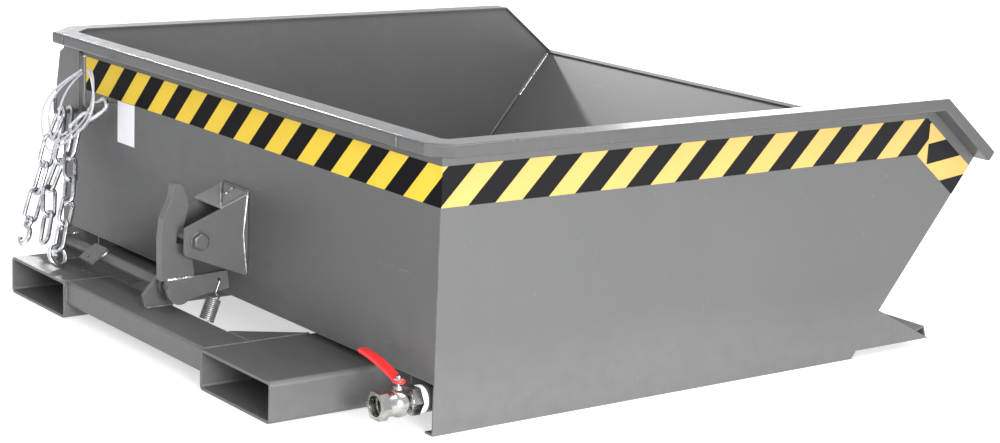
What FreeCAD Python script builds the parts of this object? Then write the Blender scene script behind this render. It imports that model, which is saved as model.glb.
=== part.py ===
"""Self dumping hopper: a low tipping container on a fork pocket frame with a sprung latch.

Modelled in millimetres. X runs across, the near side is +X. The back wall with the fork
entry faces -Y and the pouring lip is at +Y. Z is up and the ground is z = 0. Lengths below
are measured from the back wall's outer face, and export() moves the origin to the middle.
"""
import FreeCAD, Part
import math
import os

V = FreeCAD.Vector

# Container outline
body_width = 1488.0
body_height = 541.0
sheet = 4.0
top_length = 1247.0
lip_run = 152.0
lip_drop = 121.5
chute_run = 268.0
floor_z = 96.0
foot_setback = 71.0
foot_flange = 25.0
notch_run = 12.0
skirt_gap = 16.0
nose_reach = 156.0
nose_tip_z = 17.0
nose_rise = 18.6
nose_sheet = 3.0
nose_angle_share = 1.35
rib_thick = 5.0
rib_inset = 119.0
rib_start_y = 30.0
cross_rib_setback = 160.0
rib_bottom_z = 36.0

# Rim
rim_reach = 43.0
rim_depth = 25.0
rim_overhang = 5.0
rim_chamfer = 40.0
rim_far_chamfer = 75.0
rim_inner_chamfer = 6.0
rim_seam_inset = 84.0
rim_corner_run = 60.0
lip_strip_width = 9.0

# Fork pockets and frame
pocket_inset = 200.0
pocket_width = 256.0
pocket_height = 80.0
pocket_wall = 6.0
pocket_corner = 10.0
pocket_tail = 220.0
crossbar_back = 214.0
crossbar_depth = 104.0
crossbar_height = 50.0
crossbar_wall = 5.0
crossbar_corner = 6.0
gusset_width = 85.0
gusset_length = 134.0
gusset_thick = 8.0
beam_depth = 40.0
beam_overhang = 16.0
beam_wall = 4.0
slot_offset = 53.0
slot_length = 42.0
slot_width = 6.0
slot_back = 143.0

# Pivot
pivot_setback = 469.0
pivot_z = 70.0
pivot_offset = 182.0
pin_r = 10.0
pin_head_r = 15.0
pin_head_thick = 6.0
pin_tail = 12.0
pivot_lug_thick = 20.0
pivot_lug_r = 22.0
pivot_lug_reach = 45.0
clevis_thick = 10.0
clevis_base = 8.0
clevis_throat = 26.0
cotter_r = 2.0
cotter_length = 34.0

# Clearances
run_clear = 0.08
seat_gap = 0.3
side_gap = 1.0
bolt_clear = 0.5

# Keeper on the back wall
keeper_near_x = 85.0
keeper_far_x = -20.0
keeper_plate = 6.0
keeper_yz = [(0.0, 318.0), (-143.0, 263.0), (-143.0, 213.0), (-140.0, 206.0), (-131.0, 203.0), (0.0, 151.0)]
keeper_bridge_back = 62.0
bolt_y = -112.0
bolt_z = 235.0
bolt_r = 10.0
bolt_head_across = 30.0
bolt_head_thick = 12.5
bolt_washer_r = 18.5
bolt_washer_thick = 3.0
nut_thick = 16.0
bolt_tail = 5.0

# Latch shaft, hook and arm
shaft_y = -127.0
shaft_z = 123.0
shaft_r = 12.5
shaft_tail = 4.0
hub_r = 27.0
hook_near_x = 42.5
hook_thick = 20.0
arm_thick = 14.0
arm_yz = [(-160.0, 149.5), (-21.0, 155.5), (-17.0, 119.0), (-85.0, 110.0), (-127.0, 100.0), (-150.0, 118.0)]
hook_yz = [(-171.0, 149.0), (-173.0, 232.0), (-168.0, 275.0), (-150.0, 315.0), (-146.0, 340.0),
           (-143.0, 344.0), (-137.0, 344.0), (-125.0, 339.0), (-114.0, 314.0), (-110.5, 299.0),
           (-123.5, 250.0), (-137.0, 247.0), (-138.0, 223.0), (-108.0, 216.0), (-102.0, 190.0),
           (-97.0, 158.0), (-97.0, 152.2)]
lug_offset = 153.0
lug_width = 53.0
lug_length = 46.0
lug_thick = 8.0
lug_lead = 10.0
lug_slope_deg = 33.3
bearing_right_x = -33.0
bearing_offset = 190.0
bearing_thick = 10.0
bearing_right_yz = [(-172.0, 80.0), (-106.0, 80.0), (-104.0, 118.0), (-110.0, 140.0), (-120.0, 149.0),
                    (-133.0, 150.0), (-143.0, 143.0), (-176.0, 106.0)]
bearing_left_yz = [(-146.0, 80.0), (-78.0, 80.0), (-78.0, 126.0), (-88.0, 142.0), (-104.0, 150.0),
                   (-128.0, 150.0), (-142.0, 138.0)]
collar_r = 19.0
collar_thick = 12.0

# Return spring
spring_wire_r = 1.75
spring_coil_r = 14.5
spring_pitch = 3.9
spring_turns = 12
spring_x = 46.5
spring_top = (-40.0, 139.0)
spring_bottom = (-80.0, 33.5)
spring_hook_bend = 4.5
spring_hook_tail = 16.0
spring_lead = 39.0
spring_ease = 12.0
spring_hole_r = 3.5
anchor_thick = 8.0
anchor_yz = [(-110.0, 50.0), (-86.0, 46.0), (-70.0, 40.0), (-70.0, 26.0), (-86.0, 20.0), (-110.0, 16.0)]

# Drain and ball valve
drain_inset = 44.0
drain_z = 60.0
pipe_r = 21.2
pipe_bore_r = 17.9
elbow_start_y = 70.0
strainer_r = 38.0
strainer_thick = 3.0
strainer_hole_r = 4.0
strainer_ring_r = 13.0
strainer_holes = 6
valve_back = 97.0
valve_front = 9.0
valve_end_length = 18.0
valve_end_across = 50.0
valve_body_r = 27.0
valve_neck_r = 23.0
valve_bore_r = 16.0
thread_r = 19.5
thread_length = 16.0
ball_r = 20.0
ball_bore_r = 15.0
ball_flat = 18.5
seal_front_y = 19.0
seal_r = 26.0
stem_y = -48.0
stem_r = 5.0
bonnet_r = 10.0
bonnet_top_z = 92.0
lever_z = 97.0
lever_thick = 3.0
lever_width = 22.0
lever_length = 126.0
lever_flat = 24.0
lever_crank_run = 16.0
lever_crank_rise = 17.0
lever_rise = 31.0
lever_hub_r = 13.0
lever_nut_across = 17.0
lever_nut_thick = 8.0
stem_tail = 3.0

# Tape and label
tape_top = 46.5
tape_bottom = 121.0
tape_left_inset = 112.0
tape_thick = 0.5
label_inset = 266.0
label_width = 77.0
label_drop = 122.0
label_height = 91.0

# Hanger at the far corner: each point's reach beyond the side and its drop below the rim's top
hanger_outline = [(31.0, 161.0), (7.0, 51.0), (-21.0, 36.0), (-90.0, 36.0), (-90.0, 201.0), (39.0, 201.0)]
hanger_thick = 6.0
peg_inset = 72.0
peg_drop = 176.0
peg_reach = 56.0
peg_rise = 34.0
cleat_inset = 259.0
cleat_drop = 130.0
cleat_reach = 77.0
cleat_rise = 109.0
cleat_r = 4.0
cleat_bend = 9.0

# Chains: X and Y of each link's lower end from its bar's foot, and how far down it is
link_wire_r = 5.0
link_inner_length = 65.0
link_half_width = 15.0
link_gap = 0.6
chain_starts = [-40.0, -23.0, -30.0]
left_chain_xy = [(-10.0, -59.0), (-11.0, -76.0), (-5.0, -98.0), (8.0, -123.0)]
left_chain_shares = [0.19, 0.41, 0.62, 0.83]
middle_chain_xy = [(27.0, -42.0), (53.0, -70.0), (46.0, -92.0), (83.0, -112.0), (111.0, -136.0)]
middle_chain_shares = [0.17, 0.36, 0.57, 0.74, 0.92]
right_chain_xy = [(-53.0, -38.0), (-105.0, -46.0), (-92.0, -66.0), (-47.0, -88.0), (-4.0, -112.0),
                  (33.0, -141.0), (65.0, -166.0)]
right_chain_shares = [0.09, 0.21, 0.39, 0.51, 0.62, 0.73, 0.85]
ring_r = 22.0
chain_hook_r = 19.0
chain_hook_wire_r = 6.0
chain_eye_r = 12.0

# Cable loops: X from the cleat, Y from the wall and how far above or below the cleat's bar
hank_top = (-15.0, -68.0, 77.0)
hank_bottom = (-131.0, -105.0, -129.0)
hank_half_width = 112.0
hank_neck = 41.0
hank_narrowing = 92.0
hank_shortening = 11.0
hank_turns = 3
hank_cord_r = 2.5
hank_pitch = 5.8
hank_end_run = 12.0

# Derived places
half_width = body_width / 2
wall_inner_x = half_width - sheet
wall_top_z = body_height - sheet
rim_outer_x = half_width + rim_reach
floor_top_z = floor_z + sheet
lip_y = top_length + lip_run
lip_z = body_height - lip_drop
corner_y = lip_y - chute_run
foot_length = corner_y - foot_setback
notch_y = foot_length + notch_run
nose_tip_y = corner_y + nose_reach
cross_rib_y = foot_length - cross_rib_setback
rib_x = half_width - rib_inset
rim_seam_x = half_width - rim_seam_inset
pocket_outer_x = half_width - pocket_inset
pocket_inner_x = pocket_outer_x - pocket_width
beam_half_length = pocket_outer_x + beam_overhang
slot_x = -(pocket_inner_x + slot_offset)
pivot_x = pocket_inner_x + pivot_offset
pivot_y = corner_y - pivot_setback
bearing_left_x = -(pocket_inner_x + bearing_offset)
shaft_left_x = bearing_left_x - shaft_tail
shaft_right_x = hook_near_x - arm_thick
lug_left_x = bearing_left_x + lug_offset
lug_right_x = lug_left_x + lug_width
drain_x = half_width - drain_inset
tape_left_x = tape_left_inset - half_width
label_left_x = label_inset - half_width
label_top_z = body_height - label_drop
peg_foot = V(peg_inset - half_width, 0, body_height - peg_drop)
cleat_foot = V(cleat_inset - half_width, 0, body_height - cleat_drop)
crossbar_front = crossbar_back - crossbar_depth
beam_front_y = pivot_y - clevis_throat - clevis_base
beam_back_y = beam_front_y - beam_depth
slope_dir = V(0, lip_y - top_length, lip_z - body_height).normalize()
chute_dir = V(0, lip_y - corner_y, lip_z - floor_z).normalize()
apron_dir = V(0, nose_tip_y - corner_y, nose_tip_z - floor_z).normalize()
mid_y = (lip_y - pocket_tail) / 2


# Helpers

def export(name, shape):
    """Write one sub-part, with the origin moved below the middle of the hopper."""
    placed = shape.copy()
    placed.translate(V(0, -mid_y, 0))
    if not placed.isValid():
        raise RuntimeError(name + " is not valid")
    placed.exportStep("parts/" + name + ".step")
    print(name, len(placed.Solids), round(placed.Volume / 1000.0, 1), "cm3")


def block(x0, x1, y0, y1, z0, z1):
    return Part.makeBox(x1 - x0, y1 - y0, z1 - z0, V(x0, y0, z0))


def face_of(points):
    return Part.Face(Part.makePolygon(points + [points[0]]))


def prism_x(points, x0, x1):
    """A solid with a YZ outline between two X planes."""
    return face_of([V(x0, y, z) for y, z in points]).extrude(V(x1 - x0, 0, 0))


def prism_y(points, y0, y1):
    """A solid with an XZ outline between two Y planes."""
    return face_of([V(x, y0, z) for x, z in points]).extrude(V(0, y1 - y0, 0))


def prism_z(points, z0, z1):
    """A solid with an XY outline between two Z planes."""
    return face_of([V(x, y, z0) for x, y in points]).extrude(V(0, 0, z1 - z0))


def rod_x(x0, x1, y, z, r):
    return Part.makeCylinder(r, x1 - x0, V(x0, y, z), V(1, 0, 0))


def rod_y(y0, y1, x, z, r):
    return Part.makeCylinder(r, y1 - y0, V(x, y0, z), V(0, 1, 0))


def rod_z(z0, z1, x, y, r):
    return Part.makeCylinder(r, z1 - z0, V(x, y, z0), V(0, 0, 1))


def joined(shapes):
    result = shapes[0]
    for shape in shapes[1:]:
        result = result.fuse(shape)
    return result.removeSplitter()


def mirrored(shape):
    return shape.mirror(V(0, 0, 0), V(1, 0, 0))


def hexagon(across, centre, axis, side):
    """Corner points of a hexagon about centre, in the plane of axis and side."""
    radius = across / math.sqrt(3)
    turns = [math.radians(60 * k) for k in range(6)]
    return [centre + axis * (radius * math.cos(a)) + side * (radius * math.sin(a)) for a in turns]


def tube_section(width, height, wall, corner, length, start):
    """A rectangular tube with rounded edges along Y, its low corner at start."""
    outer = Part.makeBox(width, length, height, start)
    outer = outer.makeFillet(corner, [e for e in outer.Edges if abs(e.tangentAt(e.FirstParameter).y) == 1])
    inner = Part.makeBox(width - 2 * wall, length, height - 2 * wall, start + V(wall, 0, wall))
    if corner > wall:
        bends = [e for e in inner.Edges if abs(e.tangentAt(e.FirstParameter).y) == 1]
        inner = inner.makeFillet(corner - wall, bends)
    return outer.cut(inner)


def meet(p, p_dir, q, q_dir):
    """Where two lines in the YZ plane cross."""
    across = V(0, -q_dir.z, q_dir.y)
    return p + p_dir * ((q - p).dot(across) / p_dir.dot(across))


def yz(point):
    return (point.y, point.z)


def below_rim(depth):
    """Points of the top line of a side, lowered square to itself by depth."""
    bend = V(0, top_length, body_height)
    lip = V(0, lip_y, lip_z)
    fall = V(0, slope_dir.z, -slope_dir.y)
    level = V(0, 0, body_height - depth)
    corner = meet(level, V(0, 1, 0), bend + fall * depth, slope_dir)
    return corner, lip + fall * depth


# Container

def side_outline():
    """The side panel in YZ, from the ground to the underside of the rim."""
    bend, end = below_rim(sheet)
    lip = meet(bend, slope_dir, V(0, corner_y, floor_z), chute_dir)
    return [(0, 0), (foot_length, 0), (notch_y, skirt_gap), (nose_tip_y, skirt_gap),
            (nose_tip_y, nose_tip_z), (corner_y, floor_z), yz(lip), yz(bend), (0, wall_top_z)]


def side_panel():
    """One sheet from the rim to the ground, with a foot flange turned inward."""
    panel = prism_x(side_outline(), wall_inner_x, half_width)
    flange = block(half_width - foot_flange, wall_inner_x, 0, foot_length, 0, sheet)
    return joined([panel, flange])


def back_wall():
    return block(-wall_inner_x, wall_inner_x, 0, sheet, floor_top_z, wall_top_z)


def chute_inner():
    """A point and the direction of the chute wall's inner face."""
    inward = V(0, -chute_dir.z, chute_dir.y)
    return V(0, corner_y, floor_z) + inward * sheet


def drain_hole_y():
    return elbow_start_y + floor_z - drain_z


def floor_sheet():
    low = meet(chute_inner(), chute_dir, V(0, 0, floor_z), V(0, 1, 0))
    high = meet(chute_inner(), chute_dir, V(0, 0, floor_top_z), V(0, 1, 0))
    outline = [(0, floor_z), yz(low), yz(high), (0, floor_top_z)]
    floor = prism_x(outline, -wall_inner_x, wall_inner_x)
    return floor.cut(rod_z(0, body_height, drain_x, drain_hole_y(), pipe_bore_r))


def front_wall():
    """The sloped chute wall, from the floor's front edge to the lip."""
    low = meet(chute_inner(), chute_dir, V(0, 0, floor_z), V(0, 1, 0))
    top = V(0, lip_y, lip_z)
    inner_top = meet(chute_inner(), chute_dir, top, slope_dir)
    outline = [(corner_y, floor_z), yz(top), yz(inner_top), yz(low)]
    wall = prism_x(outline, -wall_inner_x, wall_inner_x)
    for flange in (rim_flange(), mirrored(rim_flange())):
        wall = wall.cut(flange)
    return wall


def lip_strip():
    """A flat bar that stiffens the lip's edge on the inside of the chute."""
    inward = V(0, -chute_dir.z, chute_dir.y)
    top = meet(chute_inner(), chute_dir, V(0, lip_y, lip_z), slope_dir)
    low = top - chute_dir * lip_strip_width
    outline = [yz(top), yz(top + inward * sheet), yz(low + inward * sheet), yz(low)]
    return prism_x(outline, rim_overhang - wall_inner_x, wall_inner_x - rim_overhang)


def apron_under():
    """A point on the apron's underside."""
    return V(0, corner_y, floor_z) + V(0, apron_dir.z, -apron_dir.y) * sheet


def nose_apron():
    start = meet(apron_under(), apron_dir, V(0, 0, floor_z), V(0, 1, 0))
    end = meet(apron_under(), apron_dir, V(0, 0, skirt_gap), V(0, 1, 0))
    outline = [yz(start), (corner_y, floor_z), (nose_tip_y, nose_tip_z), (nose_tip_y, skirt_gap), yz(end)]
    return prism_x(outline, -wall_inner_x, wall_inner_x)


def nose_plate():
    low = meet(apron_under(), apron_dir, V(0, 0, skirt_gap), V(0, 1, 0))
    high = meet(apron_under(), apron_dir, V(0, 0, skirt_gap + sheet), V(0, 1, 0))
    outline = [(notch_y, skirt_gap), yz(low), yz(high), (notch_y, skirt_gap + sheet)]
    return prism_x(outline, -wall_inner_x, wall_inner_x)


def nose_angle():
    """An inverted angle that stands on its two edges along the nose."""
    foot = V(0, nose_tip_y, nose_tip_z) - apron_dir * (nose_rise * nose_angle_share)
    up = V(0, -apron_dir.z, apron_dir.y)
    root = nose_sheet * math.sqrt(2)
    outline = [yz(foot - apron_dir * nose_rise), yz(foot + up * nose_rise), yz(foot + apron_dir * nose_rise),
               yz(foot + apron_dir * (nose_rise - root)), yz(foot + up * (nose_rise - root)),
               yz(foot - apron_dir * (nose_rise - root))]
    return prism_x(outline, -half_width, half_width)


def side_ribs():
    """Two flat bars on edge under the floor."""
    rib = block(rib_x, rib_x + rib_thick, rib_start_y, cross_rib_y, rib_bottom_z, floor_z)
    return Part.makeCompound([rib, mirrored(rib)])


def cross_rib():
    return block(-wall_inner_x, wall_inner_x, cross_rib_y, cross_rib_y + rib_thick, rib_bottom_z, floor_z)


def corner_plan(outer_x, back_y, chamfer, stop_y):
    """Plan points of a rim corner: along the back, round the chamfer, along the side."""
    return [(rim_seam_x, back_y), (outer_x - chamfer, back_y), (outer_x, back_y + chamfer), (outer_x, stop_y)]


def rim_corner(chamfer):
    """The folded rim round the back corner, from the seam to the side's straight run."""
    fold = sheet * (2 - math.sqrt(2))
    outer = corner_plan(rim_outer_x, -rim_reach, chamfer, rim_corner_run)
    skirt_in = corner_plan(rim_outer_x - sheet, sheet - rim_reach, chamfer - fold, rim_corner_run)
    wall = corner_plan(half_width + seat_gap, -seat_gap, 0, rim_corner_run)
    inner = corner_plan(wall_inner_x - rim_overhang, sheet + rim_overhang, rim_inner_chamfer, rim_corner_run)
    inner[1] = (wall_inner_x - rim_overhang - rim_inner_chamfer, sheet + rim_overhang)
    del wall[1]
    top = prism_z(outer + inner[::-1], wall_top_z, body_height)
    skirt = prism_z(outer + skirt_in[::-1], body_height - rim_depth, body_height)
    low_z = body_height - rim_depth
    bottom = prism_z(outer + wall[::-1], low_z, low_z + sheet)
    return [top, skirt, bottom]


def rim_band(near, far, x0, x1):
    """A strip of the side rim between two depths below the top line."""
    bend_a, end_a = below_rim(near)
    bend_b, end_b = below_rim(far)
    outline = [(rim_corner_run, bend_a.z), yz(bend_a), yz(end_a), yz(end_b), yz(bend_b),
               (rim_corner_run, bend_b.z)]
    return prism_x(outline, x0, x1)


def rim_flange():
    """The side rim's top, level and then falling to the lip."""
    return rim_band(0, sheet, wall_inner_x - rim_overhang, rim_outer_x)


def side_rim(chamfer):
    """Rim of one side: back corner, level run and the fall to the lip, folded from one strip."""
    skirt = rim_band(0, rim_depth, rim_outer_x - sheet, rim_outer_x)
    bottom = rim_band(rim_depth - sheet, rim_depth, half_width + seat_gap, rim_outer_x)
    return joined(rim_corner(chamfer) + [rim_flange(), skirt, bottom])


def back_rim():
    low_z = body_height - rim_depth
    top = block(-rim_seam_x, rim_seam_x, -rim_reach, sheet + rim_overhang, wall_top_z, body_height)
    skirt = block(-rim_seam_x, rim_seam_x, -rim_reach, sheet - rim_reach, low_z, body_height)
    bottom = block(-rim_seam_x, rim_seam_x, -rim_reach, -seat_gap, low_z, low_z + sheet)
    return joined([top, skirt, bottom])


# Keeper on the back wall

def keeper_plate_at(x0):
    plate = prism_x(keeper_yz, x0, x0 + keeper_plate)
    return plate.cut(rod_x(x0, x0 + keeper_plate, bolt_y, bolt_z, bolt_r + bolt_clear))


def keeper_bridge():
    """The plate that closes the keeper's top next to the wall."""
    top = V(0, keeper_yz[0][0], keeper_yz[0][1])
    nose = V(0, keeper_yz[1][0], keeper_yz[1][1])
    along = (nose - top).normalize()
    up = V(0, along.z, -along.y)
    back = top + along * (-keeper_bridge_back / along.y)
    wall_edge = meet(top + up * keeper_plate, along, V(0, 0, 0), V(0, 0, 1))
    outline = [yz(top), yz(back), yz(back + up * keeper_plate), yz(wall_edge)]
    return prism_x(outline, keeper_far_x, keeper_near_x)


def keeper_bolt():
    centre = V(keeper_near_x + bolt_washer_thick, bolt_y, bolt_z)
    points = hexagon(bolt_head_across, centre, V(0, 1, 0), V(0, 0, 1))
    head = face_of(points).extrude(V(bolt_head_thick, 0, 0))
    tail = keeper_far_x - bolt_washer_thick - nut_thick - bolt_tail
    return joined([head, rod_x(tail, centre.x, bolt_y, bolt_z, bolt_r)])


def keeper_washers():
    hole = rod_x(-half_width, half_width, bolt_y, bolt_z, bolt_r + bolt_clear)
    near = rod_x(keeper_near_x, keeper_near_x + bolt_washer_thick, bolt_y, bolt_z, bolt_washer_r)
    far = rod_x(keeper_far_x - bolt_washer_thick, keeper_far_x, bolt_y, bolt_z, bolt_washer_r)
    return Part.makeCompound([near.cut(hole), far.cut(hole)])


def keeper_nut():
    face_x = keeper_far_x - bolt_washer_thick
    points = hexagon(bolt_head_across, V(face_x, bolt_y, bolt_z), V(0, 1, 0), V(0, 0, 1))
    nut = face_of(points).extrude(V(-nut_thick, 0, 0))
    return nut.cut(rod_x(face_x - nut_thick, face_x, bolt_y, bolt_z, bolt_r + seat_gap))


# Fork pocket frame

def fork_pocket(side):
    """A rectangular tube open to the back; the front beam stops the forks."""
    start_x = pocket_inner_x if side > 0 else -pocket_outer_x
    length = beam_back_y + pocket_tail
    tube = tube_section(pocket_width, pocket_height, pocket_wall, pocket_corner, length,
                        V(start_x, -pocket_tail, 0))
    if side < 0:
        slot = block(slot_x - slot_length / 2, slot_x + slot_length / 2, -slot_back, slot_width - slot_back,
                     pocket_height - pocket_wall, pocket_height)
        tube = tube.cut(slot)
    return tube


def rear_crossbar():
    low_z = pocket_height - crossbar_height
    bar = tube_section(crossbar_height, crossbar_depth, crossbar_wall, crossbar_corner, 2 * pocket_inner_x,
                       V(0, 0, 0))
    bar.rotate(V(0, 0, 0), V(0, 1, 0), 90)
    bar.rotate(V(0, 0, 0), V(0, 0, 1), 90)
    box = bar.BoundBox
    bar.translate(V(-pocket_inner_x - box.XMin, -crossbar_back - box.YMin, low_z - box.ZMin))
    return bar


def corner_gusset():
    back = -crossbar_front
    points = [(pocket_inner_x, back), (pocket_inner_x - gusset_width, back),
              (pocket_inner_x, back + gusset_length)]
    return prism_z(points, pocket_height - gusset_thick, pocket_height)


def front_beam():
    """A box section across both pockets' front ends."""
    outer = block(-beam_half_length, beam_half_length, beam_back_y, beam_front_y, 0, pocket_height)
    inner = block(-beam_half_length, beam_half_length, beam_back_y + beam_wall, beam_front_y - beam_wall,
                  beam_wall, pocket_height - beam_wall)
    return outer.cut(inner)


# Pivot

def pivot_lug(centre_x):
    """The container's eye that hangs from the floor."""
    half = pivot_lug_thick / 2
    eye = rod_x(centre_x - half, centre_x + half, pivot_y, pivot_z, pivot_lug_r)
    outline = [(pivot_y - pivot_lug_r, pivot_z), (pivot_y + pivot_lug_r, pivot_z),
               (pivot_y + pivot_lug_reach, floor_z), (pivot_y - pivot_lug_r, floor_z)]
    lug = joined([eye, prism_x(outline, centre_x - half, centre_x + half)])
    lug = lug.common(block(-half_width, half_width, 0, top_length, 0, floor_z))
    return lug.cut(rod_x(centre_x - half, centre_x + half, pivot_y, pivot_z, pin_r + run_clear))


def clevis(centre_x):
    """Two cheeks on a base plate, welded to the front beam."""
    half = pivot_lug_thick / 2 + side_gap
    outer = half + clevis_thick
    low_z = pivot_z - pivot_lug_r
    high_z = pivot_z + clevis_thick * 2
    base = block(centre_x - outer, centre_x + outer, beam_front_y, beam_front_y + clevis_base, low_z,
                 pocket_height)
    parts = [base]
    for inner_x, outer_x in ((centre_x - outer, centre_x - half), (centre_x + half, centre_x + outer)):
        round_end = rod_x(inner_x, outer_x, pivot_y, pivot_z, clevis_thick * 2)
        web = block(inner_x, outer_x, beam_front_y + clevis_base, pivot_y, low_z, high_z)
        web = web.common(block(inner_x, outer_x, 0, pivot_y, low_z, pocket_height))
        parts.append(round_end)
        parts.append(web)
    bore = rod_x(centre_x - outer, centre_x + outer, pivot_y, pivot_z, pin_r + run_clear)
    return joined(parts).cut(bore)


def pin_ends(centre_x):
    """The X of a pin's head face and tail end, the head outward."""
    outer = pivot_lug_thick / 2 + side_gap + clevis_thick + side_gap
    return centre_x + outer, centre_x - outer - pin_tail


def pivot_pins():
    """Both headed pins, each with a cotter through its tail."""
    pins = []
    for centre_x in (-pivot_x, pivot_x):
        head_x, tail_x = pin_ends(centre_x)
        shank = rod_x(tail_x, head_x, pivot_y, pivot_z, pin_r)
        head = rod_x(head_x, head_x + pin_head_thick, pivot_y, pivot_z, pin_head_r)
        hole = rod_z(0, body_height, tail_x + pin_tail / 2, pivot_y, cotter_r + seat_gap)
        pins.append(joined([shank, head]).cut(hole))
        half = cotter_length / 2
        pins.append(rod_z(pivot_z - half, pivot_z + half, tail_x + pin_tail / 2, pivot_y, cotter_r))
    return Part.makeCompound(pins)


# Latch

def latch_bearing(outline, x0):
    plate = prism_x(outline, x0, x0 + bearing_thick)
    return plate.cut(rod_x(x0, x0 + bearing_thick, shaft_y, shaft_z, shaft_r + run_clear))


def latch_shaft():
    return rod_x(shaft_left_x, shaft_right_x, shaft_y, shaft_z, shaft_r)


def shaft_collars():
    """Two rings that keep the shaft from sliding through the right bearing."""
    left_x = bearing_right_x - side_gap - collar_thick
    right_x = bearing_right_x + bearing_thick + side_gap
    rings = []
    for x in (left_x, right_x):
        ring = rod_x(x, x + collar_thick, shaft_y, shaft_z, collar_r)
        rings.append(ring.cut(rod_x(x, x + collar_thick, shaft_y, shaft_z, shaft_r + seat_gap)))
    return Part.makeCompound(rings)


def latch_arm():
    """The plate round the shaft that the spring pulls on."""
    x0 = hook_near_x - arm_thick
    arm = joined([prism_x(arm_yz, x0, hook_near_x), rod_x(x0, hook_near_x, shaft_y, shaft_z, hub_r)])
    under_edge = [yz(arm_line(-body_height)), yz(arm_line(body_height)), (body_height, 0), (-body_height, 0)]
    arm = arm.common(prism_x(under_edge, x0, hook_near_x))
    return arm.cut(rod_x(x0, hook_near_x, spring_top[0], spring_top[1], spring_hole_r))


def arm_line(y):
    """A point on the arm's straight top edge, carried on at both ends."""
    (y0, z0), (y1, z1) = arm_yz[0], arm_yz[1]
    return V(0, y, z0 + (y - y0) * (z1 - z0) / (y1 - y0))


def latch_hook():
    """The upright hook plate, its foot on the arm's top edge."""
    back = arm_line(hook_yz[0][0])
    front = arm_line(hook_yz[-1][0])
    outline = [yz(back)] + hook_yz[1:-1] + [yz(front)]
    return prism_x(outline, hook_near_x - hook_thick, hook_near_x)


def release_lug():
    """A flat lug tangent to the shaft, for the release cable."""
    slope = math.radians(lug_slope_deg)
    along = V(0, -math.cos(slope), -math.sin(slope))
    up = V(0, -math.sin(slope), math.cos(slope))
    root = V(0, shaft_y, shaft_z) + up * (shaft_r + seat_gap) - along * lug_lead
    tip = root + along * lug_length
    outline = [yz(root), yz(tip), yz(tip + up * lug_thick), yz(root + up * lug_thick)]
    lug = prism_x(outline, lug_left_x, lug_right_x)
    eye = root + along * (lug_length - lug_lead)
    hole = Part.makeCylinder(cleat_r, lug_thick, V((lug_left_x + lug_right_x) / 2, eye.y, eye.z), up)
    return lug.cut(hole)


# Turns of wire and cord

def biarc(p0, t0, p1, t1):
    """Two arcs that join p0 to p1 and keep both end directions: their points and tangent."""
    gap = p1 - p0
    total = t0 + t1
    bend = 2 * (1 - t0.dot(t1))
    lean = gap.dot(total)
    if bend < 1e-9:
        reach = gap.dot(gap) / (2 * lean)
    else:
        reach = (-lean + math.sqrt(lean * lean + bend * gap.dot(gap))) / bend
    knee = (p0 + p1 + (t0 - t1) * reach) * 0.5
    knee_dir = (p1 - p0 - total * reach).normalize()
    return knee, knee_dir


def arc_edge(p, direction, q):
    """An arc from p to q that leaves p along direction, and its radius."""
    chord = q - p
    unit = V(chord).normalize()
    cosine = max(-1.0, min(1.0, direction.dot(unit)))
    half = math.acos(cosine)
    if half < 1e-6:
        return Part.LineSegment(p, q).toShape(), float("inf")
    middle = p + (direction + unit).normalize() * (chord.Length / 2 / math.cos(half / 2))
    return Part.Arc(p, middle, q).toShape(), chord.Length / 2 / math.sin(half)


class Path:
    """A chain of straight runs and arcs that always leave each other smoothly."""

    def __init__(self, point, direction):
        self.point = V(point)
        self.direction = V(direction).normalize()
        self.edges = []
        self.least_radius = float("inf")

    def add_arc(self, q, end_dir):
        edge, radius = arc_edge(self.point, self.direction, q)
        self.edges.append(edge)
        self.least_radius = min(self.least_radius, radius)
        self.point = V(q)
        self.direction = V(end_dir).normalize()

    def run(self, length):
        end = self.point + self.direction * length
        self.edges.append(Part.LineSegment(self.point, end).toShape())
        self.point = end

    def to(self, q, end_dir):
        end_dir = V(end_dir).normalize()
        knee, knee_dir = biarc(self.point, self.direction, q, end_dir)
        self.add_arc(knee, knee_dir)
        self.add_arc(q, end_dir)

    def tube(self, radius):
        wire = Part.Wire(self.edges)
        start = self.edges[0]
        first = start.valueAt(start.FirstParameter)
        direction = start.tangentAt(start.FirstParameter)
        ring = Part.Wire(Part.makeCircle(radius, first, direction))
        solid = wire.makePipeShell([ring], True, False)
        return solid, wire.Length

    def points(self, spacing):
        """Points along the path, about spacing apart."""
        found = []
        for edge in self.edges:
            count = max(2, int(edge.Length / spacing) + 1)
            found.extend(edge.discretize(count)[:-1])
        return found


def least_gap(path, radius, spacing):
    """The least space between two stretches of one tube that aren't neighbours."""
    places = path.points(spacing)
    skip = int(math.pi * radius * 2 / spacing) + 2
    least = float("inf")
    for i, here in enumerate(places):
        for there in places[i + skip:]:
            least = min(least, (here - there).Length)
    return least - 2 * radius


def report_tube(name, solid, length, radius, path, spacing):
    ideal = math.pi * radius * radius * length
    print(name, "length", round(length, 1), "volume share", round(solid.Volume / ideal, 4),
          "least radius", round(path.least_radius, 2),
          "least gap to itself", round(least_gap(path, radius, spacing), 2))


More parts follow.
